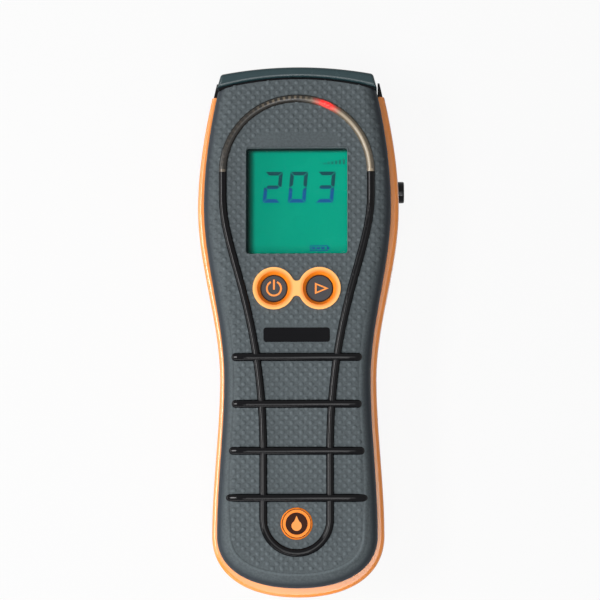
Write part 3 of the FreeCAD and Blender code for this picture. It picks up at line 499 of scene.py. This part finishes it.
def cell_sleeve(colours):
    """Cell sleeve: dark wrap with a copper band, bare metal at the tip."""
    finish = Finish("cell_sleeve", **{"Coat Weight": 0.3, "Coat Roughness": 0.1})
    high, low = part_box("battery_cell_left")[1].y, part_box("battery_cell_right")[0].y
    y = finish.along("Y")
    left, right = finish.along("X") < 0, finish.along("X") > 0
    band = finish.soft(y, high - 0.014, high - 0.0138) * left
    band = band + (1 - finish.soft(y, low + 0.0138, low + 0.014)) * right
    tips = (y > high - 0.0014) * left + (y < low + 0.0014) * right
    wrap = finish.mix(finish.noise(0.006), shade(colours.trim, 1.2), shade(colours.trim, 2.0))
    copper = finish.mix(finish.noise(0.002), (0.62, 0.30, 0.12, 1.0), (0.72, 0.38, 0.17, 1.0))
    sleeve = finish.mix(band, wrap, copper)
    finish.colour(finish.mix(tips, sleeve, (0.7, 0.7, 0.68, 1.0)))
    finish.rough(0.26 + 0.1 * finish.noise(0.003))
    finish.feed(finish.surface.inputs["Metallic"], tips + (1 - tips) * band * 0.7)
    return finish


def board_green(colours):
    """Solder mask over copper tracks, with bright pads."""
    finish = Finish("board_green", **{"Coat Weight": 0.4, "Coat Roughness": 0.15})
    run = finish.maths("SINE", finish.along("X") * 2600 + finish.noise(0.008) * 9)
    tracks = finish.soft(run, 0.55, 0.75)
    pads = 1 - finish.soft(finish.cells(0.0042), 0.10, 0.14)
    mask = finish.mix(tracks, colours.board, shade(colours.board, 1.7))
    finish.colour(finish.mix(pads, mask, (0.66, 0.62, 0.5, 1.0)))
    finish.feed(finish.surface.inputs["Metallic"], pads * 0.9)
    finish.rough(0.35 - pads * 0.1)
    finish.bump(tracks, 0.3, 0.00003)
    return finish


# Meshes

FINISHES = {}


def material(name):
    """A finish by name, made with all the others the first time that one is asked for."""
    if not FINISHES:
        FINISHES.update(finishes(bpy.context.scene.meter_colours))
    return FINISHES[name]


def finished(bm, name, body, finish, smooth=None):
    """Turns a bmesh into a piece that rides on a body; edges sharper than smooth stay crisp."""
    if smooth is not None:
        for face in bm.faces:
            face.smooth = True
        for edge in bm.edges:
            if len(edge.link_faces) != 2 or edge.calc_face_angle(math.pi) > math.radians(smooth):
                edge.smooth = False
    mesh = bpy.data.meshes.new(name)
    bm.to_mesh(mesh)
    bm.free()
    piece = bpy.data.objects.new(name, mesh)
    bpy.context.scene.collection.objects.link(piece)
    mesh.materials.append(material(finish))
    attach(piece, body)
    return piece


def smooth_copy(node, finish, smooth=32.0):
    """A merged, smoothly shaded copy of a CAD node, which it replaces."""
    cad = NODES[node]
    bm = bmesh.new()
    bm.from_mesh(cad.data)
    bmesh.ops.remove_doubles(bm, verts=bm.verts, dist=2e-6)
    piece = finished(bm, node + "_moulding", cad["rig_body"], finish, smooth)
    even = piece.modifiers.new("Even shading", "WEIGHTED_NORMAL")
    even.mode = "FACE_AREA"
    even.keep_sharp = True
    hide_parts(node)


def slot_of(node):
    """The record's material slot of a CAD node."""
    return {part["node"]: part["material_slot"] for part in frame["record"]["subparts"]}[node]


def dress(*names):
    """Gives CAD nodes the finish named like their slot."""
    for name in names:
        mesh = NODES[name].data
        mesh.materials.clear()
        mesh.materials.append(material(slot_of(name)))


def slab(bm, points, low, high):
    """A flat plate with the given outline between two levels."""
    base = bm.faces.new([bm.verts.new((x, y, low)) for x, y in points])
    grown = bmesh.ops.extrude_face_region(bm, geom=[base])["geom"]
    top = [item for item in grown if isinstance(item, bmesh.types.BMVert)]
    bmesh.ops.translate(bm, verts=top, vec=(0.0, 0.0, high - low))
    bmesh.ops.recalc_face_normals(bm, faces=bm.faces)


def block(bm, x, y, wide, tall, low, high):
    """A plate about a place, given by its half sizes."""
    slab(bm, [(x - wide, y - tall), (x + wide, y - tall), (x + wide, y + tall), (x - wide, y + tall)],
         low, high)


# Front cover

def cover_edge(sizes):
    """Points along the right side of the cover's edge, from the probe end round to the foot."""
    spans = [(sizes.nose_half, sizes.half_length, -0.25), (sizes.head_half, HEAD_PLACE, 0.0),
             (sizes.waist_half, WAIST_PLACE, 0.0), (sizes.foot_half, FOOT_PLACE, 0.0)]
    points = []
    for (x0, y0, lean0), (x1, y1, lean1) in zip(spans, spans[1:]):
        run = y1 - y0
        for step in range(20):
            t = step / 20
            near = (1 + 2 * t) * (1 - t) ** 2
            far = t ** 2 * (3 - 2 * t)
            bend = t * (1 - t) ** 2 * lean0 - t ** 2 * (1 - t) * lean1
            points.append((near * x0 + far * x1 + run * bend, y0 + run * t))
    end, full = sizes.end_rim - sizes.half_length, 0.62
    poles = [(x1, y1), (x1, y1 + full * (end - y1)), (x1 * full, end), (0.0, end)]
    return points + [bezier(poles, step / 24) for step in range(25)]


def bezier(poles, t):
    """The point of a cubic curve at a share t of the way along it."""
    weights = ((1 - t) ** 3, 3 * t * (1 - t) ** 2, 3 * t * t * (1 - t), t ** 3)
    return tuple(sum(w * pole[axis] for w, pole in zip(weights, poles)) for axis in (0, 1))


def inset_at(edge, x, y):
    """How far a place lies inside the cover's edge; negative outside it."""
    distance = distance_to_line(edge, x, y)
    for (x0, y0), (x1, y1) in zip(edge, edge[1:]):
        if y1 <= y < y0:
            return distance if abs(x) < x0 + (x1 - x0) * (y0 - y) / (y0 - y1) else -distance
    return -distance


def border(sizes, y):
    """Width of the smooth border beside the texture at a place along the cover."""
    grip = soft_step(0.030, 0.0, y)
    foot = soft_step(-0.045, -0.075, y)
    width = sizes.head_border + grip * (sizes.grip_border - sizes.head_border)
    return width + foot * (sizes.foot_border - sizes.grip_border)


def soft_step(start, end, place):
    """0 at the start, 1 at the end and smooth between."""
    part = min(1.0, max(0.0, (place - start) / (end - start)))
    return part * part * (3 - 2 * part)


def drop_at(sizes, inset):
    """How far the cover's rounded edge has fallen below the face."""
    fallen = max(0.0, sizes.edge_round - max(inset, 0.0))
    return sizes.edge_round - math.sqrt(sizes.edge_round ** 2 - fallen ** 2)


def keyhole_line(sizes):
    """Points along the right half of the keyhole line, from the arc's crown to the foot."""
    points = []
    for step in range(25):
        turn = math.pi / 2 * (1 - step / 24)
        points.append((sizes.arc_radius * math.cos(turn),
                       sizes.arc_place + sizes.arc_radius * math.sin(turn)))
    inner, end = 0.0112, -0.042
    loop = LINE_LOW.y + inner + sizes.line_half
    poles = [(sizes.arc_radius, 0.046), (sizes.arc_radius, 0.026), (inner, end + 0.05), (inner, end)]
    points += [bezier(poles, step / 40) for step in range(41)]
    for step in range(17):
        turn = math.pi / 2 * step / 16
        points.append((inner * math.cos(turn), loop - inner * math.sin(turn)))
    return points


def distance_to_line(line, x, y):
    """Distance from a place to a line that is the same on both sides."""
    x = abs(x)
    nearest = 1.0
    for (x0, y0), (x1, y1) in zip(line, line[1:]):
        dx, dy = x1 - x0, y1 - y0
        run = dx * dx + dy * dy
        part = 0.0 if run == 0 else min(1.0, max(0.0, ((x - x0) * dx + (y - y0) * dy) / run))
        nearest = min(nearest, math.hypot(x - x0 - part * dx, y - y0 - part * dy))
    return nearest


def is_textured(sizes, line, x, y, inset):
    """Whether a dome stands at a place on the face."""
    radius = sizes.dome_radius
    near = radius * 0.8
    if math.hypot(x, y - SEAM_CENTRE) > SEAM_RADIUS - radius * 0.5:
        return False
    if inset < border(sizes, y) + radius * 0.5:
        return False
    if distance_to_line(line, x, y) < sizes.line_half * 0.8:
        return False
    window = middle_of("display_window")
    if abs(x) < OPENING_WIDE - radius and abs(y - window.y) < OPENING_TALL - radius:
        return False
    if abs(x) < PATCH_WIDE and 0 < y - window.y - OPENING_TALL < PATCH_LENGTH:
        return False
    for key in ("power_button", "select_button"):
        if math.hypot(x - middle_of(key).x, y - middle_of(key).y) < KEY_RING:
            return False
    key = middle_of("select_button")
    if abs(x) < key.x and abs(y - key.y) < 0.0025:
        return False
    plate = middle_of("name_plate")
    if abs(x) < PLATE_HIGH.x + near and abs(y - plate.y) < PLATE_HIGH.y - plate.y + near:
        return False
    badge = middle_of("badge")
    if math.hypot(x - badge.x, y - badge.y) < BADGE_RING + near:
        return False
    rib_half = 0.0014
    pitch = (RIBS_HIGH.y - RIBS_LOW.y - 2 * rib_half) / 3
    ribs = [RIBS_HIGH.y - rib_half - pitch * number for number in range(4)]
    return all(abs(y - rib) > rib_half * 0.8 for rib in ribs)


def dome(bm, radius, rise):
    """One low dome about the Z axis, turned from a soft bell-shaped profile."""
    shape = ((1.0, -0.08), (0.78, 0.20), (0.46, 0.76), (0.0, 1.0))
    profile = [bm.verts.new((radius * reach, 0.0, rise * height)) for reach, height in shape]
    edges = [bm.edges.new(pair) for pair in zip(profile, profile[1:])]
    bmesh.ops.spin(bm, geom=profile + edges, axis=(0.0, 0.0, 1.0), angle=math.tau, steps=9, use_merge=True)
    bmesh.ops.remove_doubles(bm, verts=bm.verts, dist=1e-7)
    bmesh.ops.recalc_face_normals(bm, faces=bm.faces)
    if max(bm.faces, key=lambda face: face.calc_center_median().z).normal.z < 0:
        bmesh.ops.reverse_faces(bm, faces=bm.faces)


def strip(bm, rows, name):
    """Bridges rows of edges into a strip that faces up, as a piece of the front cover."""
    for near, far in zip(rows, rows[1:]):
        bmesh.ops.bridge_loops(bm, edges=near + far)
    bmesh.ops.recalc_face_normals(bm, faces=bm.faces)
    if sum(face.normal.z for face in bm.faces) < 0:
        bmesh.ops.reverse_faces(bm, faces=bm.faces)
    finished(bm, name, "instrument", "cover_grey", smooth=60)


class METER_OT_front_cover(bpy.types.Operator):
    """Front cover with its field of low round domes"""
    bl_idname = "meter.front_cover"
    bl_label = "Front cover"

    def execute(self, context):
        sizes = context.scene.meter_sizes
        smooth_copy("front_cover", "cover_grey")
        line, edge = keyhole_line(sizes), cover_edge(sizes)
        self.texture(sizes, line, edge)
        self.lip(sizes, edge)
        self.display_edge(sizes)
        return {"FINISHED"}

    def texture(self, sizes, line, edge):
        """The domes in staggered rows, turned with the cover where its edge is round."""
        small = bmesh.new()
        dome(small, sizes.dome_radius, sizes.dome_rise)
        pattern = bpy.data.meshes.new("dome")
        small.to_mesh(pattern)
        small.free()
        bm = bmesh.new()
        pitch = sizes.dome_pitch
        for row in range(-56, 54):
            y = row * pitch / 2
            for column in range(-12, 13):
                x = (column + 0.5 * (row % 2)) * pitch
                inset = inset_at(edge, x, y)
                if is_textured(sizes, line, x, y, inset):
                    self.place(bm, pattern, sizes, x, y, inset)
        bpy.data.meshes.remove(pattern)
        finished(bm, "cover_texture", "instrument", "cover_grey", smooth=60)

    def place(self, bm, pattern, sizes, x, y, inset):
        """One dome at its place, cut off where the display's opening begins."""
        small = bmesh.new()
        small.from_mesh(pattern)
        fallen = max(0.0, sizes.edge_round - inset) / sizes.edge_round
        turn = Matrix.Rotation(math.copysign(math.asin(fallen), x), 4, "Y")
        level = sizes.face - drop_at(sizes, inset)
        bmesh.ops.transform(small, verts=small.verts, matrix=Matrix.Translation((x, y, level)) @ turn)
        window, radius = middle_of("display_window"), sizes.dome_radius
        across, along = abs(x) - OPENING_WIDE, abs(y - window.y) - OPENING_TALL
        if max(across, along) < radius:
            side = Vector((math.copysign(1.0, x), 0.0, 0.0))
            edge = Vector((side.x * OPENING_WIDE, 0.0, 0.0))
            if along > across:
                side = Vector((0.0, math.copysign(1.0, y - window.y), 0.0))
                edge = Vector((0.0, window.y + side.y * OPENING_TALL, 0.0))
            bmesh.ops.bisect_plane(small, geom=list(small.verts) + list(small.edges) + list(small.faces),
                                   plane_co=edge, plane_no=side, clear_inner=True)
        copy = bpy.data.meshes.new("dome_copy")
        small.to_mesh(copy)
        small.free()
        bm.from_mesh(copy)
        bpy.data.meshes.remove(copy)

    def display_edge(self, sizes):
        """Fine bead round the display's opening."""
        middle, steps = middle_of("display_window").y, 24
        wide, tall = OPENING_WIDE - OPENING_CORNER, OPENING_TALL - OPENING_CORNER
        section = ((0.0, -0.0003), (0.00002, 0.0001), (0.00022, 0.00024), (0.00042, 0.0001),
                   (0.0005, -0.00005))
        bm = bmesh.new()
        rows = []
        for shift, rise in section:
            row = []
            for step in range(steps):
                turn = math.tau * step / steps + math.tau / (2 * steps)
                x = math.copysign(wide, math.cos(turn)) + (OPENING_CORNER + shift) * math.cos(turn)
                y = math.copysign(tall, math.sin(turn)) + (OPENING_CORNER + shift) * math.sin(turn)
                row.append(bm.verts.new((x, middle + y, sizes.face + rise)))
            rows.append([bm.edges.new(pair) for pair in zip(row, row[1:] + row[:1])])
        strip(bm, rows, "display_edge")

    def lip(self, sizes, edge):
        """Smooth border that stands a little over the texture's ground beside the grip and foot."""
        start, full = 0.016, -0.004
        right = [(x, y) for x, y in edge if y < start]
        left = [(-x, y) for x, y in reversed(right[:-1])]
        route = [Vector((x, y, 0.0)) for x, y in right + left]
        section = ((0.0002, -0.3), (-0.0001, 0.1), (-0.0005, 0.9), (-0.0010, 1.0), (-0.0016, 0.6),
                   (-0.0022, -0.3))
        bm = bmesh.new()
        rows = []
        for number, place in enumerate(route):
            ahead = route[min(number + 1, len(route) - 1)] - route[max(number - 1, 0)]
            inward = Vector((ahead.y, -ahead.x, 0.0)).normalized()
            rise = sizes.lip_rise * soft_step(start, full, place.y)
            row = []
            for shift, share in section:
                inset = border(sizes, place.y) + shift
                point = place + inward * inset
                point.z = sizes.face - drop_at(sizes, inset) + rise * share - 0.00002
                row.append(bm.verts.new(point))
            rows.append([bm.edges.new(pair) for pair in zip(row, row[1:])])
        strip(bm, rows, "cover_border")


# Casing and probe end

class METER_OT_casing(bpy.types.Operator):
    """Rear casing and the battery cover below it"""
    bl_idname = "meter.casing"
    bl_label = "Casing"

    def execute(self, context):
        for node in ("rear_casing", "battery_cover"):
            smooth_copy(node, "casing_orange")
        return {"FINISHED"}


class METER_OT_probe_end(bpy.types.Operator):
    """End cap, its seal and the black nose block"""
    bl_idname = "meter.probe_end"
    bl_label = "Probe end"

    def execute(self, context):
        smooth_copy("top_end_cap", "cap_grey")
        smooth_copy("nose_block", "black_trim")
        dress("end_seal")
        return {"FINISHED"}


class METER_OT_probe_socket(bpy.types.Operator):
    """Probe socket and its round collar"""
    bl_idname = "meter.probe_socket"
    bl_label = "Probe socket"

    def execute(self, context):
        smooth_copy("probe_socket", "black_trim")
        smooth_copy("socket_collar", "black_trim")
        return {"FINISHED"}


# Lines and lights on the face

class METER_OT_grip_lines(bpy.types.Operator):
    """Keyhole line and the four ribs laid across it"""
    bl_idname = "meter.grip_lines"
    bl_label = "Keyhole line and ribs"

    def execute(self, context):
        for node in ("keyhole_trim", "grip_ribs"):
            smooth_copy(node, "black_trim")
        return {"FINISHED"}


class METER_OT_light_arc(bpy.types.Operator):
    """Smoked light arc over its row of LEDs"""
    bl_idname = "meter.light_arc"
    bl_label = "Light arc"

    def execute(self, context):
        smooth_copy("light_pipe", "smoked_lens")
        dress("bar_leds")
        return {"FINISHED"}


# Display

SEGMENTS = {"2": "abged", "0": "abcdef", "3": "abgcd"}


def segment_outline(sizes, kind):
    """Corners of one segment of an upright digit about its middle."""
    wide, tall, stroke = sizes.digit_width / 2, sizes.digit_height / 2, sizes.digit_stroke
    gap = stroke * 0.12
    if kind in "adg":
        y = {"a": tall, "g": 0.0, "d": -tall}[kind]
        lean = 0.0 if kind == "g" else -math.copysign(stroke, y)
        near, far = wide - gap, wide - stroke - gap
        if kind == "g":
            half = stroke / 2
            return [(-far - half, 0.0), (-far, half), (far, half), (far + half, 0.0), (far, -half),
                    (-far, -half)]
        return [(-near, y), (near, y), (far, y + lean), (-far, y + lean)]
    side = 1 if kind in "bc" else -1
    up = 1 if kind in "bf" else -1
    outer, inner = side * wide, side * (wide - stroke)
    end = up * (tall - gap)
    return [(outer, end), (outer, up * gap), (side * (wide - stroke / 2), up * gap),
            (inner, up * (stroke / 2 + gap)), (inner, up * (tall - stroke - gap))]


class METER_OT_display(bpy.types.Operator):
    """Clear window, liquid crystal glass with its digits, and the frame round them"""
    bl_idname = "meter.display"
    bl_label = "Display"

    def execute(self, context):
        sizes = context.scene.meter_sizes
        dress("lcd_glass", "lcd_frame", "lcd_backlight", "lcd_connectors")
        self.window()
        top = GLASS_HIGH.z
        bm = bmesh.new()
        for digit, x in DIGITS:
            for kind in SEGMENTS[digit]:
                points = [(px + py * DIGIT_SLANT + x, py + DIGITS_PLACE)
                          for px, py in segment_outline(sizes, kind)]
                slab(bm, points, top, top + sizes.mark_rise)
        self.marks(bm, top, sizes)
        finished(bm, "lcd_segments", "instrument", "segment_blue")
        return {"FINISHED"}

    def window(self):
        """Thin clear lens with a bevelled edge, just under the cover."""
        low, high = WINDOW_LOW, WINDOW_HIGH
        bm = bmesh.new()
        bmesh.ops.create_cube(bm, size=1.0)
        size = Vector((high.x - low.x, high.y - low.y, 0.0009))
        bmesh.ops.scale(bm, verts=bm.verts, vec=size)
        bmesh.ops.translate(bm, verts=bm.verts, vec=((low.x + high.x) / 2, (low.y + high.y) / 2,
                                                     high.z - size.z / 2))
        upright = [edge for edge in bm.edges if abs(edge.verts[0].co.z - edge.verts[1].co.z) > 0.0001]
        bmesh.ops.bevel(bm, geom=upright, offset=0.001, affect="EDGES", segments=4, profile=0.5, material=-1)
        piece = finished(bm, "window_lens", "instrument", "clear_window", smooth=40)
        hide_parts("display_window")

    def marks(self, bm, top, sizes):
        """A battery sign at the foot of the display and a short level bar at its head."""
        rise = top + sizes.mark_rise
        x, y, wide, tall, line = 0.0074, 0.0283, 0.0030, 0.0010, 0.0003
        for side in (-1, 1):
            block(bm, x, y + side * (tall - line / 2), wide, line / 2, top, rise)
            block(bm, x + side * (wide - line / 2), y, line / 2, tall - line, top, rise)
        for number in range(3):
            block(bm, x - 0.0018 + 0.0016 * number, y, 0.0006, tall - 2 * line, top, rise)
        block(bm, x + wide + line, y, line, tall * 0.4, top, rise)
        for number in range(6):
            x = 0.0090 + number * 0.0013
            tall = 0.0005 + 0.00025 * number
            block(bm, x + 0.0004, LEVELS_PLACE + tall / 2, 0.0004, tall / 2, top, rise)


# Keypad and face plates

def ring(bm, x, y, radius, width, low, rise, start=0.0, end=math.tau, steps=32):
    """A flat ring, or part of one, raised above a level."""
    profile = [(radius - width / 2, 0.0), (radius - width / 2, rise), (radius + width / 2, rise),
               (radius + width / 2, 0.0)]
    whole = abs(end - start - math.tau) < 1e-6
    verts = [bm.verts.new((x + reach * math.cos(start), y + reach * math.sin(start), low + height))
             for reach, height in profile]
    edges = [bm.edges.new(pair) for pair in zip(verts, verts[1:] + verts[:1])]
    spun = bmesh.ops.spin(bm, geom=verts + edges, cent=(x, y, 0.0), axis=(0.0, 0.0, 1.0),
                          angle=end - start, steps=steps, use_merge=whole)
    if not whole:
        last = [item for item in spun["geom_last"] if isinstance(item, bmesh.types.BMEdge)]
        bmesh.ops.contextual_create(bm, geom=edges)
        bmesh.ops.contextual_create(bm, geom=last)


class METER_OT_keypad(bpy.types.Operator):
    """Orange surround, the two keys and the signs on them"""
    bl_idname = "meter.keypad"
    bl_label = "Keypad"

    def execute(self, context):
        sizes = context.scene.meter_sizes
        smooth_copy("keypad_surround", "keypad_orange", smooth=25)
        for node in ("power_button", "select_button"):
            smooth_copy(node, "key_grey", smooth=25)
        dress("power_plunger", "power_switch", "select_plunger", "select_switch")
        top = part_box("power_button")[1].z
        rise, stroke = sizes.mark_rise, 0.00062
        key = middle_of("power_button")
        bm = bmesh.new()
        gap = math.radians(26)
        ring(bm, key.x, key.y, 0.00240, stroke, top, rise, math.pi / 2 + gap, math.pi * 2.5 - gap)
        half = stroke / 2
        slab(bm, [(key.x - half, key.y - 0.0004), (key.x + half, key.y - 0.0004),
                  (key.x + half, key.y + 0.0030), (key.x - half, key.y + 0.0030)], top, top + rise)
        bmesh.ops.recalc_face_normals(bm, faces=bm.faces)
        finished(bm, "power_sign", "power_key", "print_orange")
        key = middle_of("select_button")
        bm = bmesh.new()
        ring(bm, key.x, key.y, 0.0025, 2 * stroke, top, rise, steps=3)
        bmesh.ops.scale(bm, verts=bm.verts, vec=(1.0, 0.72, 1.0),
                        space=Matrix.Translation((0.0, -key.y, 0.0)))
        bmesh.ops.recalc_face_normals(bm, faces=bm.faces)
        finished(bm, "select_sign", "select_key", "print_orange")
        return {"FINISHED"}


class METER_OT_face_plates(bpy.types.Operator):
    """Bare name plate, and the roundel with a plain drop"""
    bl_idname = "meter.face_plates"
    bl_label = "Name plate and roundel"

    def execute(self, context):
        sizes = context.scene.meter_sizes
        smooth_copy("name_plate", "plate_black")
        smooth_copy("badge", "badge_orange")
        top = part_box("badge")[1].z
        badge = middle_of("badge")
        bm = bmesh.new()
        ring(bm, badge.x, badge.y, 0.0048, 0.00025, top, sizes.mark_rise, steps=48)
        bmesh.ops.create_circle(bm, cap_ends=True, segments=48, radius=0.0037,
                                matrix=Matrix.Translation((badge.x, badge.y, top + sizes.mark_rise)))
        bmesh.ops.recalc_face_normals(bm, faces=bm.faces)
        finished(bm, "roundel_ground", "instrument", "badge_brown")
        bm = bmesh.new()
        low = top + sizes.mark_rise
        self.drop(bm, badge.x, badge.y - 0.0003, 0.0017, low, sizes.mark_rise)
        bmesh.ops.recalc_face_normals(bm, faces=bm.faces)
        finished(bm, "roundel_drop", "instrument", "print_orange")
        return {"FINISHED"}

    def drop(self, bm, x, y, radius, low, rise):
        """A water drop: round below and drawn to a point above."""
        points = [(x, y + radius * 1.7)]
        for step in range(25):
            turn = math.radians(150) - math.radians(300) * step / 24 + math.pi
            points.append((x + radius * math.sin(turn), y + radius * (math.cos(turn) - 0.25)))
        slab(bm, points, low, low + rise)


# Inner pieces

class METER_OT_inner_pieces(bpy.types.Operator):
    """Board, chips, buzzer, cells, contacts and screws"""
    bl_idname = "meter.inner_pieces"
    bl_label = "Inner pieces"

    def execute(self, context):
        dress("main_board", "processor", "measuring_chip", "buzzer", "battery_cell_left",
              "battery_cell_right", "contact_springs", "contact_plates", "casing_screws", "board_screws")
        return {"FINISHED"}


# Stage

def aimed(place, target, up):
    """Matrix of a camera or lamp at a place that looks at a target."""
    back = (place - target).normalized()
    right = up.cross(back).normalized()
    turned = Matrix((right, back.cross(right), back)).transposed().to_4x4()
    return Matrix.Translation(place) @ turned


class METER_OT_stage(bpy.types.Operator):
    """Pale floor, soft lamps and the camera over the face"""
    bl_idname = "meter.stage"
    bl_label = "Stage"

    def execute(self, context):
        stage = context.scene.meter_stage
        self.camera(context, stage)
        self.floor(context)
        self.world(context, stage)
        self.lamps(context, stage)
        return {"FINISHED"}

    def camera(self, context, stage):
        target = Vector((stage.aim_x, stage.aim_y, context.scene.meter_sizes.face - 0.006))
        away = Vector((math.tan(stage.turn), -math.tan(stage.lean), 1.0)).normalized()
        data = bpy.data.cameras.new("camera")
        data.sensor_width = 36.0
        data.lens = data.sensor_width * stage.distance / stage.span
        data.clip_start, data.clip_end = 0.01, 20.0
        camera = bpy.data.objects.new("camera", data)
        context.scene.collection.objects.link(camera)
        camera.matrix_world = aimed(target + away * stage.distance, target, Vector((0.0, 1.0, 0.0)))
        context.scene.camera = camera
        context.scene.view_settings.view_transform = "Standard"

    def lamps(self, context, stage):
        target = Vector((0.0, 0.0, 0.02))
        across, upright = Vector((0.0, 1.0, 0.0)), Vector((0.0, 0.0, 1.0))
        left, rim = (-0.44, 0.0, 0.67), stage.rim_power
        rows = (
            ("key_lamp", left, across, (0.15, 0.30), stage.key_power),
            ("glint_lamp", left, across, (0.12, 0.36), stage.glint_power),
            ("fill_lamp", (0.0, -0.22, 0.78), across, (0.36, 0.40), stage.fill_power),
            ("right_lamp", (0.12, -0.10, 0.72), across, (0.30, 0.40), rim),
            ("foot_glint", (-0.04, -0.44, 0.66), across, (0.36, 0.05), rim * 1.3),
            ("side_lamp", (-0.62, 0.0, 0.19), upright, (0.60, 0.22), rim * 2.3),
            ("foot_lamp", (-0.26, -0.62, 0.17), upright, (0.50, 0.08), rim),
        )
        for name, place, up, size, power in rows:
            data = bpy.data.lights.new(name, "AREA")
            data.shape = "RECTANGLE"
            data.size, data.size_y = size
            data.energy = power
            lamp = bpy.data.objects.new(name, data)
            lamp.matrix_world = aimed(Vector(place), target, up)
            lamp.visible_diffuse = name != "glint_lamp"
            context.scene.collection.objects.link(lamp)

    def floor(self, context):
        bm = bmesh.new()
        bmesh.ops.create_grid(bm, x_segments=1, y_segments=1, size=3.0)
        bmesh.ops.translate(bm, verts=bm.verts, vec=(0.0, 0.0, -0.0001))
        mesh = bpy.data.meshes.new("floor")
        bm.to_mesh(mesh)
        bm.free()
        floor = bpy.data.objects.new("floor", mesh)
        context.scene.collection.objects.link(floor)
        finish = Finish("floor_white", spec=0.2)
        finish.colour(finish.mix(finish.noise(0.2), (0.50, 0.50, 0.50, 1.0), (0.56, 0.56, 0.56, 1.0)))
        finish.rough(0.8 + 0.1 * finish.noise(0.05))
        seen = finish.backdrop_rays()
        bright = finish.node("ShaderNodeEmission", inputs={"Color": WHITE, "Strength": 1.0})
        both = finish.node("ShaderNodeMixShader", inputs={0: seen * 0.92, 1: finish.surface.outputs[0],
                                                          2: bright.outputs[0]})
        finish.feed(finish.out.inputs["Surface"], both.outputs[0])
        mesh.materials.append(finish.material)

    def world(self, context, stage):
        world = bpy.data.worlds.new("room")
        world.use_nodes = True
        context.scene.world = world
        nodes = Nodes(world.node_tree)
        light = nodes.node("ShaderNodeMapRange", inputs={"Value": nodes.backdrop_rays(), "To Min": stage.air,
                                                         "To Max": 1.0})
        sky = nodes.node("ShaderNodeBackground", inputs={"Color": WHITE, "Strength": light.outputs[0]})
        nodes.node("ShaderNodeOutputWorld", inputs={"Surface": sky.outputs[0]})


class METER_PT_panel(bpy.types.Panel):
    """Lists the pieces of the moisture meter"""
    bl_idname = "METER_PT_panel"
    bl_label = "Moisture meter"
    bl_space_type = "VIEW_3D"
    bl_region_type = "UI"
    bl_category = "Moisture meter"

    def draw(self, context):
        for operator in OPERATORS:
            self.layout.operator(operator.bl_idname)
        for group in (context.scene.meter_sizes, context.scene.meter_colours, context.scene.meter_stage):
            box = self.layout.box()
            for name in group.__annotations__:
                box.prop(group, name)


OPERATORS = (METER_OT_front_cover, METER_OT_casing, METER_OT_probe_end, METER_OT_probe_socket,
             METER_OT_grip_lines, METER_OT_light_arc, METER_OT_display, METER_OT_keypad,
             METER_OT_face_plates, METER_OT_inner_pieces, METER_OT_stage)
CLASSES = (METER_sizes, METER_colours, METER_stage) + OPERATORS + (METER_PT_panel,)


def register():
    for kind in CLASSES:
        bpy.utils.register_class(kind)
    bpy.types.Scene.meter_sizes = bpy.props.PointerProperty(type=METER_sizes)
    bpy.types.Scene.meter_colours = bpy.props.PointerProperty(type=METER_colours)
    bpy.types.Scene.meter_stage = bpy.props.PointerProperty(type=METER_stage)


def unregister():
    for name in ("meter_sizes", "meter_colours", "meter_stage"):
        delattr(bpy.types.Scene, name)
    for kind in reversed(CLASSES):
        bpy.utils.unregister_class(kind)


def main():
    register()
    for operator in OPERATORS:
        group, name = operator.bl_idname.split(".")
        getattr(getattr(bpy.ops, group), name)()


if __name__ == "__main__":
    main()
